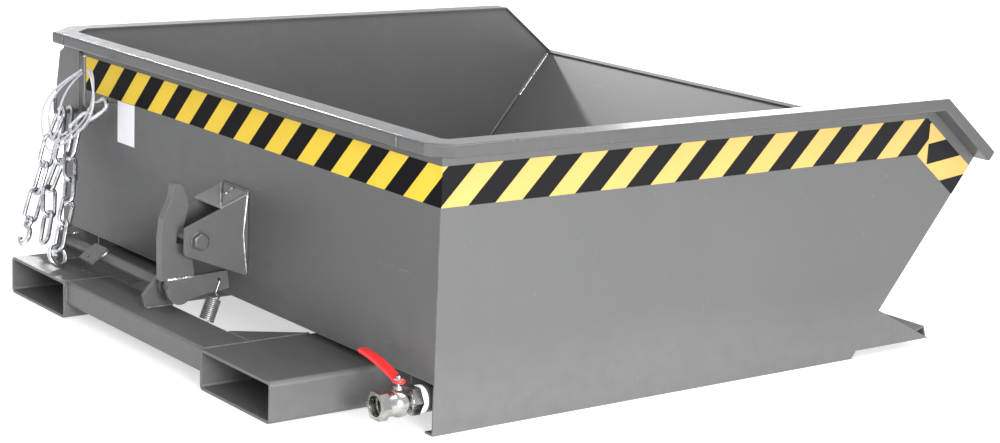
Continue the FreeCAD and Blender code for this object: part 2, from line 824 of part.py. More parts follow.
def return_spring():
    """A close wound tension spring with a hook at each end, as one unbroken wire."""
    top = V(spring_x, *spring_top)
    bottom = V(spring_x, *spring_bottom)
    down = (bottom - top).normalize()
    across = V(1, 0, 0)
    side = down.cross(across)
    path = Path(top - across * spring_hook_tail, across)
    path.run(spring_hook_tail - spring_hook_bend)
    path.add_arc(top + down * spring_hook_bend, down)
    path.run(spring_lead - spring_hook_bend - spring_ease)
    climb = spring_pitch / (2 * math.pi)

    def on_coil(angle):
        place = top + down * (spring_lead + climb * angle)
        place = place + (across * math.cos(angle) + side * math.sin(angle)) * spring_coil_r
        heading = (side * math.cos(angle) - across * math.sin(angle)) * spring_coil_r + down * climb
        return place, heading

    for half in range(2 * spring_turns + 1):
        place, heading = on_coil(math.pi * half)
        path.to(place, heading)
    end = top + down * (spring_lead + spring_pitch * spring_turns + spring_ease)
    path.to(end, down)
    path.run((bottom - end).Length - spring_hook_bend)
    path.add_arc(bottom - across * spring_hook_bend, across * -1)
    path.run(spring_hook_tail - spring_hook_bend)
    solid, length = path.tube(spring_wire_r)
    report_tube("return_spring", solid, length, spring_wire_r, path, spring_wire_r)
    return solid


def spring_anchor():
    x1 = spring_x - spring_wire_r - side_gap
    x0 = x1 - anchor_thick
    plate = prism_x(anchor_yz, x0, x1)
    return plate.cut(rod_x(x0, x1, spring_bottom[0], spring_bottom[1], spring_hole_r))


def hank_point(angle):
    """Centre line of the hank: long loops one behind the other, each narrower and shorter."""
    top = cleat_foot + V(*hank_top)
    bottom = cleat_foot + V(*hank_bottom)
    down = (bottom - top).normalize()
    turn = angle / (2 * math.pi)
    part = turn / hank_turns
    width = hank_half_width - hank_narrowing * part * part
    half = (bottom - top).Length / 2 - hank_shortening * turn
    side = hank_neck + (width - hank_neck) * math.sin(angle) ** 2
    place = top + down * (half * (1 - math.cos(angle)))
    return place + V(-side * math.sin(angle), hank_pitch * turn, 0)


def cable_hank():
    """The release cable, wound in loops over the cleat as one unbroken cord."""
    step = math.pi / 1000
    quarter = math.pi / 4

    def heading(angle):
        return hank_point(angle + step) - hank_point(angle - step)

    start = quarter / 2
    path = Path(hank_point(start) - heading(start).normalize() * hank_end_run, heading(start))
    path.run(hank_end_run)
    count = 8 * hank_turns - 4
    for index in range(1, count + 1):
        angle = start + quarter * index
        path.to(hank_point(angle), heading(angle))
    path.run(hank_end_run)
    solid, length = path.tube(hank_cord_r)
    report_tube("cable_hank", solid, length, hank_cord_r, path, hank_cord_r)
    return solid


# Far corner

def bent_bar(foot, reach, rise):
    """A round bar straight out from its foot, with its end turned up."""
    path = Path(foot, V(0, -1, 0))
    path.run(reach + foot.y - cleat_bend)
    path.add_arc(V(foot.x, -reach, foot.z + cleat_bend), V(0, 0, 1))
    path.run(rise - cleat_bend)
    return path.tube(cleat_r)[0]


def hanger_plate():
    """A flat plate beyond the wall's end with a bent peg for the chains."""
    outline = [(-half_width - reach, body_height - drop) for reach, drop in hanger_outline]
    plate = prism_y(outline, -hanger_thick, 0)
    return joined([plate, bent_bar(peg_foot - V(0, hanger_thick, 0), peg_reach, peg_rise)])


def cable_cleat():
    return bent_bar(cleat_foot, cleat_reach, cleat_rise)


def part_ring(centre, wire_r, bend_r, axis, start, angle):
    """Part of a ring: a round section turned about axis, starting from start."""
    circle = Part.makeCircle(wire_r, centre + start * bend_r, axis.cross(start))
    return Part.Face(Part.Wire(circle)).revolve(centre, axis, angle)


def chain_link(centre, along, across):
    """One long link of round wire."""
    straight = link_inner_length / 2 - link_half_width + link_wire_r
    normal = along.cross(across)
    parts = []
    for end in (-1, 1):
        bend = centre + along * (end * straight)
        parts.append(part_ring(bend, link_wire_r, link_half_width, normal, across * -end, 180))
        foot = centre - along * straight + across * (end * link_half_width)
        parts.append(Part.makeCylinder(link_wire_r, 2 * straight, foot, along))
    return joined(parts)


def chain_joints(foot, start_y, places, shares):
    """Places where the links of one strand meet, a pitch apart, each turned towards its place."""
    drop = foot.z - pocket_height
    pitch = link_inner_length - link_gap
    places = [V(foot.x + dx, dy, foot.z - drop * share) for (dx, dy), share in zip(places, shares)]
    bar = foot + V(0, start_y, 0)
    joints = [bar - (places[0] - bar).normalize() * (cleat_r + link_gap / 2)]
    for place in places:
        step = (place - joints[-1]).normalize() * pitch
        if (joints[-1] + step).z < pocket_height + link_half_width:
            break
        joints.append(joints[-1] + step)
    return joints


def chain_strand(joints):
    """All the links of one strand, and the width direction of its last."""
    links = []
    for k in range(len(joints) - 1):
        along = (joints[k + 1] - joints[k]).normalize()
        level = V(1, 0, 0) - along * along.x
        level.normalize()
        across = level if k % 2 == 0 else along.cross(level)
        links.append(chain_link((joints[k] + joints[k + 1]) * 0.5, along, across))
    return links, across


def end_frame(joints, across):
    """Direction of the strand's end, and the width direction of the piece that follows."""
    along = (joints[-1] - joints[-2]).normalize()
    return along, along.cross(across)


def chain_ring(joints, across):
    along, width = end_frame(joints, across)
    centre = joints[-1] + along * (ring_r - link_wire_r - link_gap / 2)
    return Part.makeTorus(ring_r, link_wire_r, centre, along.cross(width))


def chain_hook(joints, across):
    """An eye with a round hook below it."""
    along, width = end_frame(joints, across)
    normal = along.cross(width)
    eye_centre = joints[-1] + along * (chain_eye_r - link_wire_r - link_gap / 2)
    eye = Part.makeTorus(chain_eye_r, link_wire_r, eye_centre, normal)
    hook_centre = eye_centre + along * (chain_eye_r + chain_hook_r)
    hook = part_ring(hook_centre, chain_hook_wire_r, chain_hook_r, normal, along * -1, 255)
    return joined([eye, hook])


# Drain and valve

def drain_pipe():
    """A pipe through under the back wall with an elbow up to the floor."""
    def run_tube(radius):
        path = Path(V(drain_x, -valve_front, drain_z), V(0, 1, 0))
        path.run(elbow_start_y + valve_front)
        path.add_arc(V(drain_x, drain_hole_y(), floor_z), V(0, 0, 1))
        return path.tube(radius)[0]
    return run_tube(pipe_r).cut(run_tube(pipe_bore_r))


def seal_ring():
    ring = rod_y(-valve_front, seal_front_y, drain_x, drain_z, seal_r)
    return ring.cut(rod_y(-valve_front, seal_front_y, drain_x, drain_z, pipe_r + seat_gap))


def drain_strainer():
    """A round plate with holes, lying on the floor over the drain."""
    disc = rod_z(floor_top_z, floor_top_z + strainer_thick, drain_x, drain_hole_y(), strainer_r)
    spots = [(0.0, 0.0)]
    for k in range(strainer_holes):
        angle = 2 * math.pi * k / strainer_holes
        spots.append((strainer_ring_r * math.cos(angle), strainer_ring_r * math.sin(angle)))
    for dx, dy in spots:
        hole = rod_z(floor_top_z, floor_top_z + strainer_thick, drain_x + dx, drain_hole_y() + dy,
                     strainer_hole_r)
        disc = disc.cut(hole)
    return disc


def valve_body():
    """Two six-sided ends, a round belly and a neck for the stem, bored through."""
    parts = []
    for y0 in (-valve_back, -valve_front - valve_end_length):
        centre = V(drain_x, y0, drain_z)
        points = hexagon(valve_end_across, centre, V(1, 0, 0), V(0, 0, 1))
        parts.append(face_of(points).extrude(V(0, valve_end_length, 0)))
    parts.append(rod_y(-valve_back + valve_end_length, -valve_front - valve_end_length, drain_x, drain_z,
                       valve_neck_r))
    parts.append(Part.makeSphere(valve_body_r, V(drain_x, stem_y, drain_z)))
    parts.append(rod_z(drain_z, bonnet_top_z, drain_x, stem_y, bonnet_r))
    body = joined(parts)
    body = body.cut(Part.makeSphere(ball_r + run_clear, V(drain_x, stem_y, drain_z)))
    body = body.cut(rod_y(-valve_back, -valve_front, drain_x, drain_z, valve_bore_r))
    body = body.cut(rod_y(-valve_back, thread_length - valve_back, drain_x, drain_z, thread_r))
    return body.cut(rod_z(drain_z, bonnet_top_z, drain_x, stem_y, stem_r + run_clear))


def valve_ball():
    ball = Part.makeSphere(ball_r, V(drain_x, stem_y, drain_z))
    ball = ball.cut(rod_x(drain_x - ball_r, drain_x + ball_r, stem_y, drain_z, ball_bore_r))
    keep = block(drain_x - ball_r, drain_x + ball_r, stem_y - ball_r, stem_y + ball_r, drain_z - ball_r,
                 drain_z + ball_flat)
    return ball.common(keep)


def valve_stem():
    top_z = lever_z + lever_thick + lever_nut_thick + stem_tail
    return rod_z(drain_z + ball_flat + seat_gap, top_z, drain_x, stem_y, stem_r)


def valve_lever():
    """A flat steel handle, cranked up from the stem and rising to its end."""
    end_x = drain_x - lever_length
    low = [(drain_x + lever_hub_r, lever_z), (drain_x - lever_flat, lever_z),
           (drain_x - lever_flat - lever_crank_run, lever_z + lever_crank_rise), (end_x, lever_z + lever_rise)]
    high = [(x, z + lever_thick) for x, z in low]
    strip = prism_y(low + high[::-1], stem_y - lever_hub_r, stem_y + lever_hub_r)
    tip_r = lever_width / 2
    plan = joined([rod_z(0, body_height, drain_x, stem_y, lever_hub_r),
                   block(end_x + tip_r, drain_x, stem_y - tip_r, stem_y + tip_r, 0, body_height),
                   rod_z(0, body_height, end_x + tip_r, stem_y, tip_r)])
    lever = strip.common(plan)
    return lever.cut(rod_z(0, body_height, drain_x, stem_y, stem_r + seat_gap))


def lever_nut():
    face_z = lever_z + lever_thick
    points = hexagon(lever_nut_across, V(drain_x, stem_y, face_z), V(1, 0, 0), V(0, 1, 0))
    nut = face_of(points).extrude(V(0, 0, lever_nut_thick))
    return nut.cut(rod_z(face_z, face_z + lever_nut_thick, drain_x, stem_y, stem_r + seat_gap))


# Tape and label

def side_tape():
    """Striped tape along the side, below the rim and down to the front edge."""
    bend_a, end_a = below_rim(tape_top)
    bend_b, end_b = below_rim(tape_bottom)
    outline = [(0, bend_a.z), yz(bend_a), yz(end_a), yz(end_b), yz(bend_b), (0, bend_b.z)]
    band = prism_x(outline, half_width, half_width + tape_thick)
    return band.common(prism_x(side_outline(), half_width, half_width + tape_thick))


def back_tape():
    return block(tape_left_x, half_width, -tape_thick, 0, body_height - tape_bottom, body_height - tape_top)


def label_plate():
    return block(label_left_x, label_left_x + label_width, -tape_thick, 0, label_top_z - label_height,
                 label_top_z)


def build():
    os.makedirs("parts", exist_ok=True)
    export("fork_pocket_left", fork_pocket(-1))
    export("fork_pocket_right", fork_pocket(1))
    export("rear_crossbar", rear_crossbar())
    export("corner_gusset_right", corner_gusset())
    export("corner_gusset_left", mirrored(corner_gusset()))
    export("front_beam", front_beam())
    export("pivot_clevis_left", clevis(-pivot_x))
    export("pivot_clevis_right", clevis(pivot_x))
    export("pivot_pins", pivot_pins())
    export("latch_bearing_left", latch_bearing(bearing_left_yz, bearing_left_x))
    export("latch_bearing_right", latch_bearing(bearing_right_yz, bearing_right_x))
    export("spring_anchor", spring_anchor())

    export("side_panel_right", side_panel())
    export("side_panel_left", mirrored(side_panel()))
    export("back_wall", back_wall())
    export("floor_sheet", floor_sheet())
    export("front_wall", front_wall())
    export("lip_strip", lip_strip())
    export("nose_apron", nose_apron())
    export("nose_plate", nose_plate())
    export("nose_angle", nose_angle())
    export("side_ribs", side_ribs())
    export("cross_rib", cross_rib())
    export("side_rim_right", side_rim(rim_chamfer))
    export("side_rim_left", mirrored(side_rim(rim_far_chamfer)))
    export("back_rim", back_rim())
    export("pivot_lug_right", pivot_lug(pivot_x))
    export("pivot_lug_left", pivot_lug(-pivot_x))
    export("keeper_plate_near", keeper_plate_at(keeper_near_x - keeper_plate))
    export("keeper_plate_far", keeper_plate_at(keeper_far_x))
    export("keeper_bridge", keeper_bridge())
    export("keeper_bolt", keeper_bolt())
    export("keeper_washers", keeper_washers())
    export("keeper_nut", keeper_nut())
    export("side_tape_right", side_tape())
    export("side_tape_left", mirrored(side_tape()))
    export("back_tape", back_tape())
    export("label_plate", label_plate())
    export("hanger_plate", hanger_plate())
    export("cable_cleat", cable_cleat())
    export("cable_hank", cable_hank())
    left_joints = chain_joints(peg_foot, chain_starts[0], left_chain_xy, left_chain_shares)
    middle_joints = chain_joints(peg_foot, chain_starts[1], middle_chain_xy, middle_chain_shares)
    right_joints = chain_joints(cleat_foot, chain_starts[2], right_chain_xy, right_chain_shares)
    left_links, left_across = chain_strand(left_joints)
    right_links, right_across = chain_strand(right_joints)
    export("chain_left", Part.makeCompound(left_links))
    export("chain_middle", Part.makeCompound(chain_strand(middle_joints)[0]))
    export("chain_right", Part.makeCompound(right_links))
    export("chain_hook", chain_hook(left_joints, left_across))
    export("chain_ring", chain_ring(right_joints, right_across))
    export("drain_pipe", drain_pipe())
    export("seal_ring", seal_ring())
    export("drain_strainer", drain_strainer())
    export("valve_body", valve_body())

    export("latch_shaft", latch_shaft())
    export("shaft_collars", shaft_collars())
    export("latch_arm", latch_arm())
    export("latch_hook", latch_hook())
    export("release_lug", release_lug())
    export("return_spring", return_spring())

    export("valve_ball", valve_ball())
    export("valve_stem", valve_stem())
    export("valve_lever", valve_lever())
    export("lever_nut", lever_nut())


build()
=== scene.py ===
"""Self dumping hopper: finishes, folded rims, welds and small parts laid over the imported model.

The near side is +X, the back wall with the fork entry faces -Y and the pouring lip is at +Y.
Settings, lights and finishes are in metres. Places of pieces are in millimetres, with y counted
from the back wall's outer face, and at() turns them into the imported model's frame.
"""
import math

import bmesh
import bpy
import numpy as np
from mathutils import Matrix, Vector
from bpy.props import FloatProperty, FloatVectorProperty, PointerProperty


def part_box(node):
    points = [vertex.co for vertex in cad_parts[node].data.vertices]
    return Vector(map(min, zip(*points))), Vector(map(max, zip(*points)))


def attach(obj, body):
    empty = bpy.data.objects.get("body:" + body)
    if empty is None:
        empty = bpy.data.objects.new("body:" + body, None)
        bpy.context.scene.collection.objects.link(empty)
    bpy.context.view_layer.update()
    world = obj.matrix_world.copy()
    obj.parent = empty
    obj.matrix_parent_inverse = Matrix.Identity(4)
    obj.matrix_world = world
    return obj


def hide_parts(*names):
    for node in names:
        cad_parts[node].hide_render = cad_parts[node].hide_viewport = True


bl_info = {
    "name": "Self Dumping Hopper",
    "version": (1, 0, 0),
    "blender": (4, 5, 0),
    "location": "View3D > Sidebar > Hopper",
    "description": "Finishes and details of a low tipping container on a fork pocket frame",
    "category": "Object",
}

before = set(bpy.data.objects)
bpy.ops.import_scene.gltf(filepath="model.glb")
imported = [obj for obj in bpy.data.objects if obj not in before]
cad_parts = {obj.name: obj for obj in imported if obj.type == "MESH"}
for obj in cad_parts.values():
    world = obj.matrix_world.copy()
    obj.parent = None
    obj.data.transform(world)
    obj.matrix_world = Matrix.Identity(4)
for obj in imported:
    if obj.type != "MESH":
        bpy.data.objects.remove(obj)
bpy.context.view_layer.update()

MM = 0.001
TURN = 2 * math.pi
WALL_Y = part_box("back_wall")[0].y


# Places

def at(points):
    """Places in millimetres from the back wall's foot, in the frame's metres."""
    return np.asarray(points, float) * MM + (0.0, WALL_Y, 0.0)


def node_corners(node):
    """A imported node's lowest and highest corner, in millimetres as at() takes them."""
    return [((np.array(corner) - (0.0, WALL_Y, 0.0)) / MM).round(2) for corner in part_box(node)]


WALL_LOW, WALL_HIGH = node_corners("back_wall")
RIM_LOW, RIM_HIGH = node_corners("side_rim_right")
BACK_RIM_LOW, BACK_RIM_HIGH = node_corners("back_rim")
SHEET = WALL_HIGH[1] - WALL_LOW[1]
WALL_INNER_X = WALL_HIGH[0]
WALL_TOP_Z = WALL_HIGH[2]
FLOOR_Z = WALL_LOW[2]
FLOOR_UNDER_Z = node_corners("floor_sheet")[0][2]
RIM_SEAM_X = RIM_LOW[0]
RIM_OUTER_X = RIM_HIGH[0]
RIM_REACH = -RIM_LOW[1]
RIM_TOP_Z = RIM_HIGH[2]
RIM_DEPTH = RIM_TOP_Z - BACK_RIM_LOW[2]
RIM_WIDTH = BACK_RIM_HIGH[1] - BACK_RIM_LOW[1]
LIP_Y = RIM_HIGH[1]
LIP_RUN = 152.0
LIP_DROP = 121.5
CHUTE_RUN = 268.0
RIM_CHAMFER = 40.0
RIM_FAR_CHAMFER = 75.0
RIM_BEND_Y = LIP_Y - LIP_RUN
LIP_Z = RIM_TOP_Z - LIP_DROP
CORNER_Y = LIP_Y - CHUTE_RUN
SEAL_EDGE_Y = 2.0
SHAFT_Y, SHAFT_Z = -127.0, 123.0
VALVE_X, VALVE_Y = 700.0, -48.0


# Shapes

PAST_CORNER = 1.16


def grid_faces(rows, columns, closed_rows=False):
    """Quads of a grid whose columns run round; its rows run round as well if closed_rows."""
    row = np.arange(rows if closed_rows else rows - 1)[:, None]
    column = np.arange(columns)[None, :]
    here, beyond = row * columns, (row + 1) % rows * columns
    beside = (column + 1) % columns
    return np.stack([here + column, here + beside, beyond + beside, beyond + column], -1).reshape(-1, 4)


def skin(rings, closed_rows=False):
    """Vertices and faces of rings of points (rows, columns, 3), with a flat cap at each open end."""
    rows, columns = rings.shape[:2]
    faces = grid_faces(rows, columns, closed_rows).tolist()
    if not closed_rows:
        faces.append(list(range(columns)))
        faces.append(list(range((rows - 1) * columns, rows * columns)))
    return rings.reshape(-1, 3), faces


def merged(skins):
    """Several skins as one list of vertices and faces."""
    starts = np.cumsum([0] + [len(points) for points, faces in skins[:-1]])
    faces = [[int(start) + index for index in face]
             for start, (points, found) in zip(starts, skins) for face in found]
    return np.concatenate([points for points, found in skins]), faces


def unit(vector):
    return vector / np.linalg.norm(vector)


def directions(path):
    """Two unit vectors at each point, square to a path and each other, that turn as little as they can."""
    tangents = np.gradient(path, axis=0)
    tangents /= np.linalg.norm(tangents, axis=1, keepdims=True)
    side = np.cross(tangents[0], np.eye(3)[np.argmin(abs(tangents[0]))])
    sides = []
    for tangent in tangents:
        side = unit(side - tangent * (side @ tangent))
        sides.append(side)
    sides = np.array(sides)
    return sides, np.cross(tangents, sides)


def swept(path, radii, around=10):
    """A round tube along a path: centre + radius * (side cos a + up sin a) for each angle a."""
    sides, ups = directions(path)
    angle = np.linspace(0, TURN, around, endpoint=False)[None, :, None]
    ring = sides[:, None] * np.cos(angle) + ups[:, None] * np.sin(angle)
    return path[:, None] + ring * np.broadcast_to(radii, len(path))[:, None, None]


def spaced(points, step):
    """The polyline's points laid out again at even steps, its length shared out exactly."""
    points = np.asarray(points, float)
    lengths = np.concatenate([[0], np.cumsum(np.linalg.norm(np.diff(points, axis=0), axis=1))])
    count = max(3, int(lengths[-1] / step) + 1)
    along = np.linspace(0, lengths[-1], count)
    return np.stack([np.interp(along, lengths, points[:, k]) for k in range(3)], -1), along


def rounded(corners, radii, steps):
    """An outline with each corner eased by a parabola that starts and ends radius from the corner."""
    corners = np.asarray(corners, float)
    before = np.roll(corners, 1, axis=0) - corners
    after = np.roll(corners, -1, axis=0) - corners
    before /= np.linalg.norm(before, axis=1, keepdims=True)
    after /= np.linalg.norm(after, axis=1, keepdims=True)
    reach = np.broadcast_to(radii, len(corners))[:, None]
    t = np.linspace(0, 1, steps)[None, :, None]
    start, end = (corners + before * reach)[:, None], (corners + after * reach)[:, None]
    eased = start * (1 - t) ** 2 + 2 * corners[:, None] * t * (1 - t) + end * t ** 2
    return eased.reshape(-1, corners.shape[1])


def hexed(rows, across, turns=96):
    """Rings about the x axis: at each (place, limit) the lesser of a hexagon's radius and the limit."""
    place, limit = np.array(rows, float).T
    angle = np.linspace(0, TURN, turns, endpoint=False)
    sixth = TURN / 6
    sector = (angle + sixth / 2) % sixth - sixth / 2
    radius = np.minimum(across / 2 / np.cos(sector)[None, :], limit[:, None])
    return np.stack([np.broadcast_to(place[:, None], radius.shape),
                     radius * np.cos(angle), radius * np.sin(angle)], -1)


def chamfered(start, end, across, share, steps):
    """Rows for hexed: the limit falls evenly from just past a hexagon's corner to a share of its half."""
    t = np.linspace(0, 1, steps)
    limit = across / 2 * (PAST_CORNER + (share - PAST_CORNER) * t)
    return list(zip(start + (end - start) * t, limit))


def add_piece(name, shape, material, body, nodes=(), sharp=35.0):
    """A closed mesh from vertices and faces, smooth but for edges past the sharp angle."""
    points, faces = shape
    mesh = bpy.data.meshes.new(name)
    mesh.from_pydata(np.asarray(points).tolist(), [], faces)
    work = bmesh.new()
    work.from_mesh(mesh)
    bmesh.ops.remove_doubles(work, verts=work.verts, dist=1e-6)
    bmesh.ops.recalc_face_normals(work, faces=work.faces)
    work.to_mesh(mesh)
    work.free()
    mesh.shade_smooth()
    mesh.set_sharp_from_angle(angle=math.radians(sharp))
    mesh.materials.append(bpy.data.materials[material])
    piece = bpy.data.objects.new(name, mesh)
    bpy.context.scene.collection.objects.link(piece)
    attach(piece, body)
    if nodes:
        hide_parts(*nodes)
    return piece


# Shading

def add_node(tree, kind, inputs=None, **settings):
    """One node with its settings; an input that is a socket is linked, any other is its value."""
    made = tree.nodes.new("ShaderNode" + kind)
    for key, value in settings.items():
        setattr(made, key, value)
    for key, value in (inputs or {}).items():
        if isinstance(value, bpy.types.NodeSocket):
            tree.links.new(value, made.inputs[key])
        else:
            made.inputs[key].default_value = value
    return made


def calc(tree, operation, first, second=0.0, third=0.0):
    return add_node(tree, "Math", {0: first, 1: second, 2: third}, operation=operation).outputs[0]


def summed(tree, start, parts):
    """The start plus each part's value times its share."""
    for value, share in parts:
        start = calc(tree, "MULTIPLY_ADD", value, share, start)
    return start


def spread(tree, value, low, high, to_low=0.0, to_high=1.0):
    """The value's range from low to high, laid over another range and held inside it."""
    inputs = {"Value": value, "From Min": low, "From Max": high, "To Min": to_low, "To Max": to_high}
    return add_node(tree, "MapRange", inputs).outputs[0]


def blended(tree, factor, first, second, way="MIX"):
    settings = {"data_type": "RGBA", "blend_type": way}
    return add_node(tree, "Mix", {0: factor, 6: first, 7: second}, **settings).outputs[2]


def brightened(tree, colour, share):
    return add_node(tree, "VectorMath", {0: colour, "Scale": share}, operation="SCALE").outputs[0]


def scaled_noise(tree, place, scale, detail, stretch=None, turn=(0, 0, 0)):
    """Noise between 0 and 1 on Object coordinates, drawn out along an axis by stretch."""
    if stretch:
        place = add_node(tree, "Mapping", {"Vector": place, "Scale": stretch, "Rotation": turn}).outputs[0]
    return add_node(tree, "TexNoise", {"Vector": place, "Scale": scale, "Detail": detail}).outputs[0]


def new_group(name, inputs, outputs):
    """An empty shader node group with its sockets, and its input and output nodes."""
    tree = bpy.data.node_groups.new(name, "ShaderNodeTree")
    for in_out, sockets in (("INPUT", inputs), ("OUTPUT", outputs)):
        for label, kind in sockets.items():
            tree.interface.new_socket(name=label, in_out=in_out, socket_type="NodeSocket" + kind)
    entry = tree.nodes.new("NodeGroupInput")
    leave = tree.nodes.new("NodeGroupOutput")
    return tree, entry.outputs, leave.inputs


def object_place(tree):
    return add_node(tree, "TexCoord").outputs["Object"]


def build_paint_group():
    """Satin paint: clouds of tone, faint runs, dust low down, orange peel, and pale edges that are partly
    worn paint and partly a painted highlight.
    """
    wear_and_highlight_tone = 3.0
    tree, given, made = new_group(
        "Paint Film",
        {"Colour": "Color", "Dust Colour": "Color", "Dust": "Float", "Dust Height": "Float",
         "Edge Size": "Float", "Edge Wear And Highlight": "Float", "Gloss": "Float"},
        {"Colour": "Color", "Roughness": "Float", "Height": "Float"})
    place = object_place(tree)
    clouds = scaled_noise(tree, place, scale=2.1, detail=5.0)
    mottle = scaled_noise(tree, place, scale=38.0, detail=4.0)
    runs = scaled_noise(tree, place, scale=1.0, detail=4.0, stretch=(26, 26, 1.3))
    peel = scaled_noise(tree, place, scale=420.0, detail=2.0)
    scuffs = scaled_noise(tree, place, scale=1.0, detail=3.0, stretch=(9, 260, 60), turn=(0.5, 0.3, 0.7))
    tone = summed(tree, 0.80, [(clouds, 0.26), (mottle, 0.10), (runs, 0.07)])
    base = brightened(tree, given["Colour"], tone)
    up = add_node(tree, "SeparateXYZ", {0: place}).outputs[2]
    low = summed(tree, calc(tree, "SUBTRACT", given["Dust Height"], up), [(clouds, 0.12)])
    dust = calc(tree, "MULTIPLY", spread(tree, low, low=0.0, high=0.12),
                spread(tree, mottle, low=0.3, high=0.6, to_low=0.55))
    dust = calc(tree, "MULTIPLY", dust, given["Dust"])
    dusty = blended(tree, dust, base, given["Dust Colour"])
    softened = add_node(tree, "Bevel", {"Radius": given["Edge Size"]}, samples=6).outputs[0]
    facing = add_node(tree, "NewGeometry").outputs["Normal"]
    agree = add_node(tree, "VectorMath", {0: softened, 1: facing}, operation="DOT_PRODUCT").outputs["Value"]
    # Edges are lightened here: partly worn paint, partly a painted highlight along the rounded edges.
    edge = calc(tree, "MULTIPLY", spread(tree, agree, low=0.97, high=0.80),
                spread(tree, mottle, low=0.40, high=0.62))
    edge = calc(tree, "MULTIPLY", edge, given["Edge Wear And Highlight"])
    pale = brightened(tree, given["Colour"], wear_and_highlight_tone)
    worn_and_highlit = blended(tree, edge, dusty, pale)
    marks = spread(tree, scuffs, low=0.70, high=0.76, to_high=0.35)
    tree.links.new(blended(tree, marks, worn_and_highlit, pale), made["Colour"])
    rough = summed(tree, given["Gloss"], [(mottle, 0.22), (dust, 0.18), (clouds, 0.12)])
    tree.links.new(rough, made["Roughness"])
    tree.links.new(summed(tree, peel, [(mottle, 0.35), (marks, -0.8)]), made["Height"])


def build_metal_group():
    """Bare or plated metal: crystals of tone, fine scratches along one way, and dull patches."""
    tree, given, made = new_group(
        "Metal Grain",
        {"Colour": "Color", "Dull Colour": "Color", "Crystal": "Float", "Scratch": "Float", "Gloss": "Float"},
        {"Colour": "Color", "Roughness": "Float", "Height": "Float"})
    place = object_place(tree)
    crystals = add_node(tree, "TexVoronoi", {"Vector": place, "Scale": given["Crystal"]})
    shade = add_node(tree, "SeparateXYZ", {0: crystals.outputs["Color"]}).outputs[0]
    patches = scaled_noise(tree, place, scale=30.0, detail=5.0)
    lines = scaled_noise(tree, place, scale=1.0, detail=3.0, stretch=(1400, 220, 220), turn=(0.2, 0.5, 0.3))
    dull = summed(tree, spread(tree, patches, low=0.38, high=0.68, to_high=0.75), [(shade, 0.35)])
    tree.links.new(blended(tree, dull, given["Colour"], given["Dull Colour"]), made["Colour"])
    rough = summed(tree, given["Gloss"], [(dull, 0.22), (lines, 0.08)])
    tree.links.new(rough, made["Roughness"])
    scratched = calc(tree, "MULTIPLY", lines, given["Scratch"])
    tree.links.new(summed(tree, scratched, [(patches, 0.5)]), made["Height"])


def build_stripe_group():
    """Slanted stripes: 1 where the place's share along the direction falls in a pitch's first half."""
    tree, given, made = new_group(
        "Slanted Stripes",
        {"Direction": "Vector", "Pitch": "Float", "Shift": "Float"},
        {"Mask": "Float"})
    place = object_place(tree)
    ragged = scaled_noise(tree, place, scale=900.0, detail=2.0)
    along = add_node(tree, "VectorMath", {0: place, 1: given["Direction"]}, operation="DOT_PRODUCT")
    share = calc(tree, "DIVIDE", along.outputs["Value"], given["Pitch"])
    share = calc(tree, "ADD", share, given["Shift"])
    share = calc(tree, "FRACT", summed(tree, share, [(ragged, 0.004)]))
    tree.links.new(calc(tree, "LESS_THAN", share, 0.5), made["Mask"])


def build_soil_group():
    """Thin dirt for plastic, tape and cable: specks, smears and a slight sag of the surface."""
    tree, given, made = new_group(
        "Light Soil",
        {"Colour": "Color", "Soil Colour": "Color", "Amount": "Float", "Gloss": "Float"},
        {"Colour": "Color", "Roughness": "Float", "Height": "Float"})
    place = object_place(tree)
    smears = scaled_noise(tree, place, scale=14.0, detail=5.0)
    specks = scaled_noise(tree, place, scale=260.0, detail=2.0)
    smeared = spread(tree, smears, low=0.45, high=0.8, to_high=0.6)
    soil = summed(tree, smeared, [(spread(tree, specks, low=0.62, high=0.74), 0.5)])
    soil = calc(tree, "MULTIPLY", soil, given["Amount"])
    tree.links.new(blended(tree, soil, given["Colour"], given["Soil Colour"]), made["Colour"])
    tree.links.new(summed(tree, given["Gloss"], [(smears, 0.2)]), made["Roughness"])
    tree.links.new(summed(tree, smears, [(specks, 0.3)]), made["Height"])


def add_group(tree, group, values):
    """A shared node group placed in a material with its own values."""
    node = tree.nodes.new("ShaderNodeGroup")
    node.node_tree = bpy.data.node_groups[group]
    for key, value in values.items():
        node.inputs[key].default_value = value
    return node


def add_finish(name, group, values, bump=0.0004, colour=None, **sockets):
    """A material whose group feeds a Principled shader; colour(tree, node) may change its colour."""
    material = bpy.data.materials.new(name)
    material.use_nodes = True
    tree = material.node_tree
    shader = tree.nodes["Principled BSDF"]
    node = add_group(tree, group, values)
    tint = colour(tree, node) if colour else node.outputs["Colour"]
    relief = add_node(tree, "Bump", {"Height": node.outputs["Height"], "Distance": bump, "Strength": 0.5})
    tree.links.new(tint, shader.inputs["Base Color"])
    tree.links.new(node.outputs["Roughness"], shader.inputs["Roughness"])
    tree.links.new(relief.outputs[0], shader.inputs["Normal"])
    for key, value in sockets.items():
        shader.inputs[key.replace("_", " ")].default_value = value


# A side tape is joined from two runs: the second starts past a plane through TAPE_JOINT
TAPE_JOINT = (0, 1238, 425)
TAPE_JOINT_FACING = (0.0, 0.9998, -0.0210)
TAPE_SOIL = 0.55


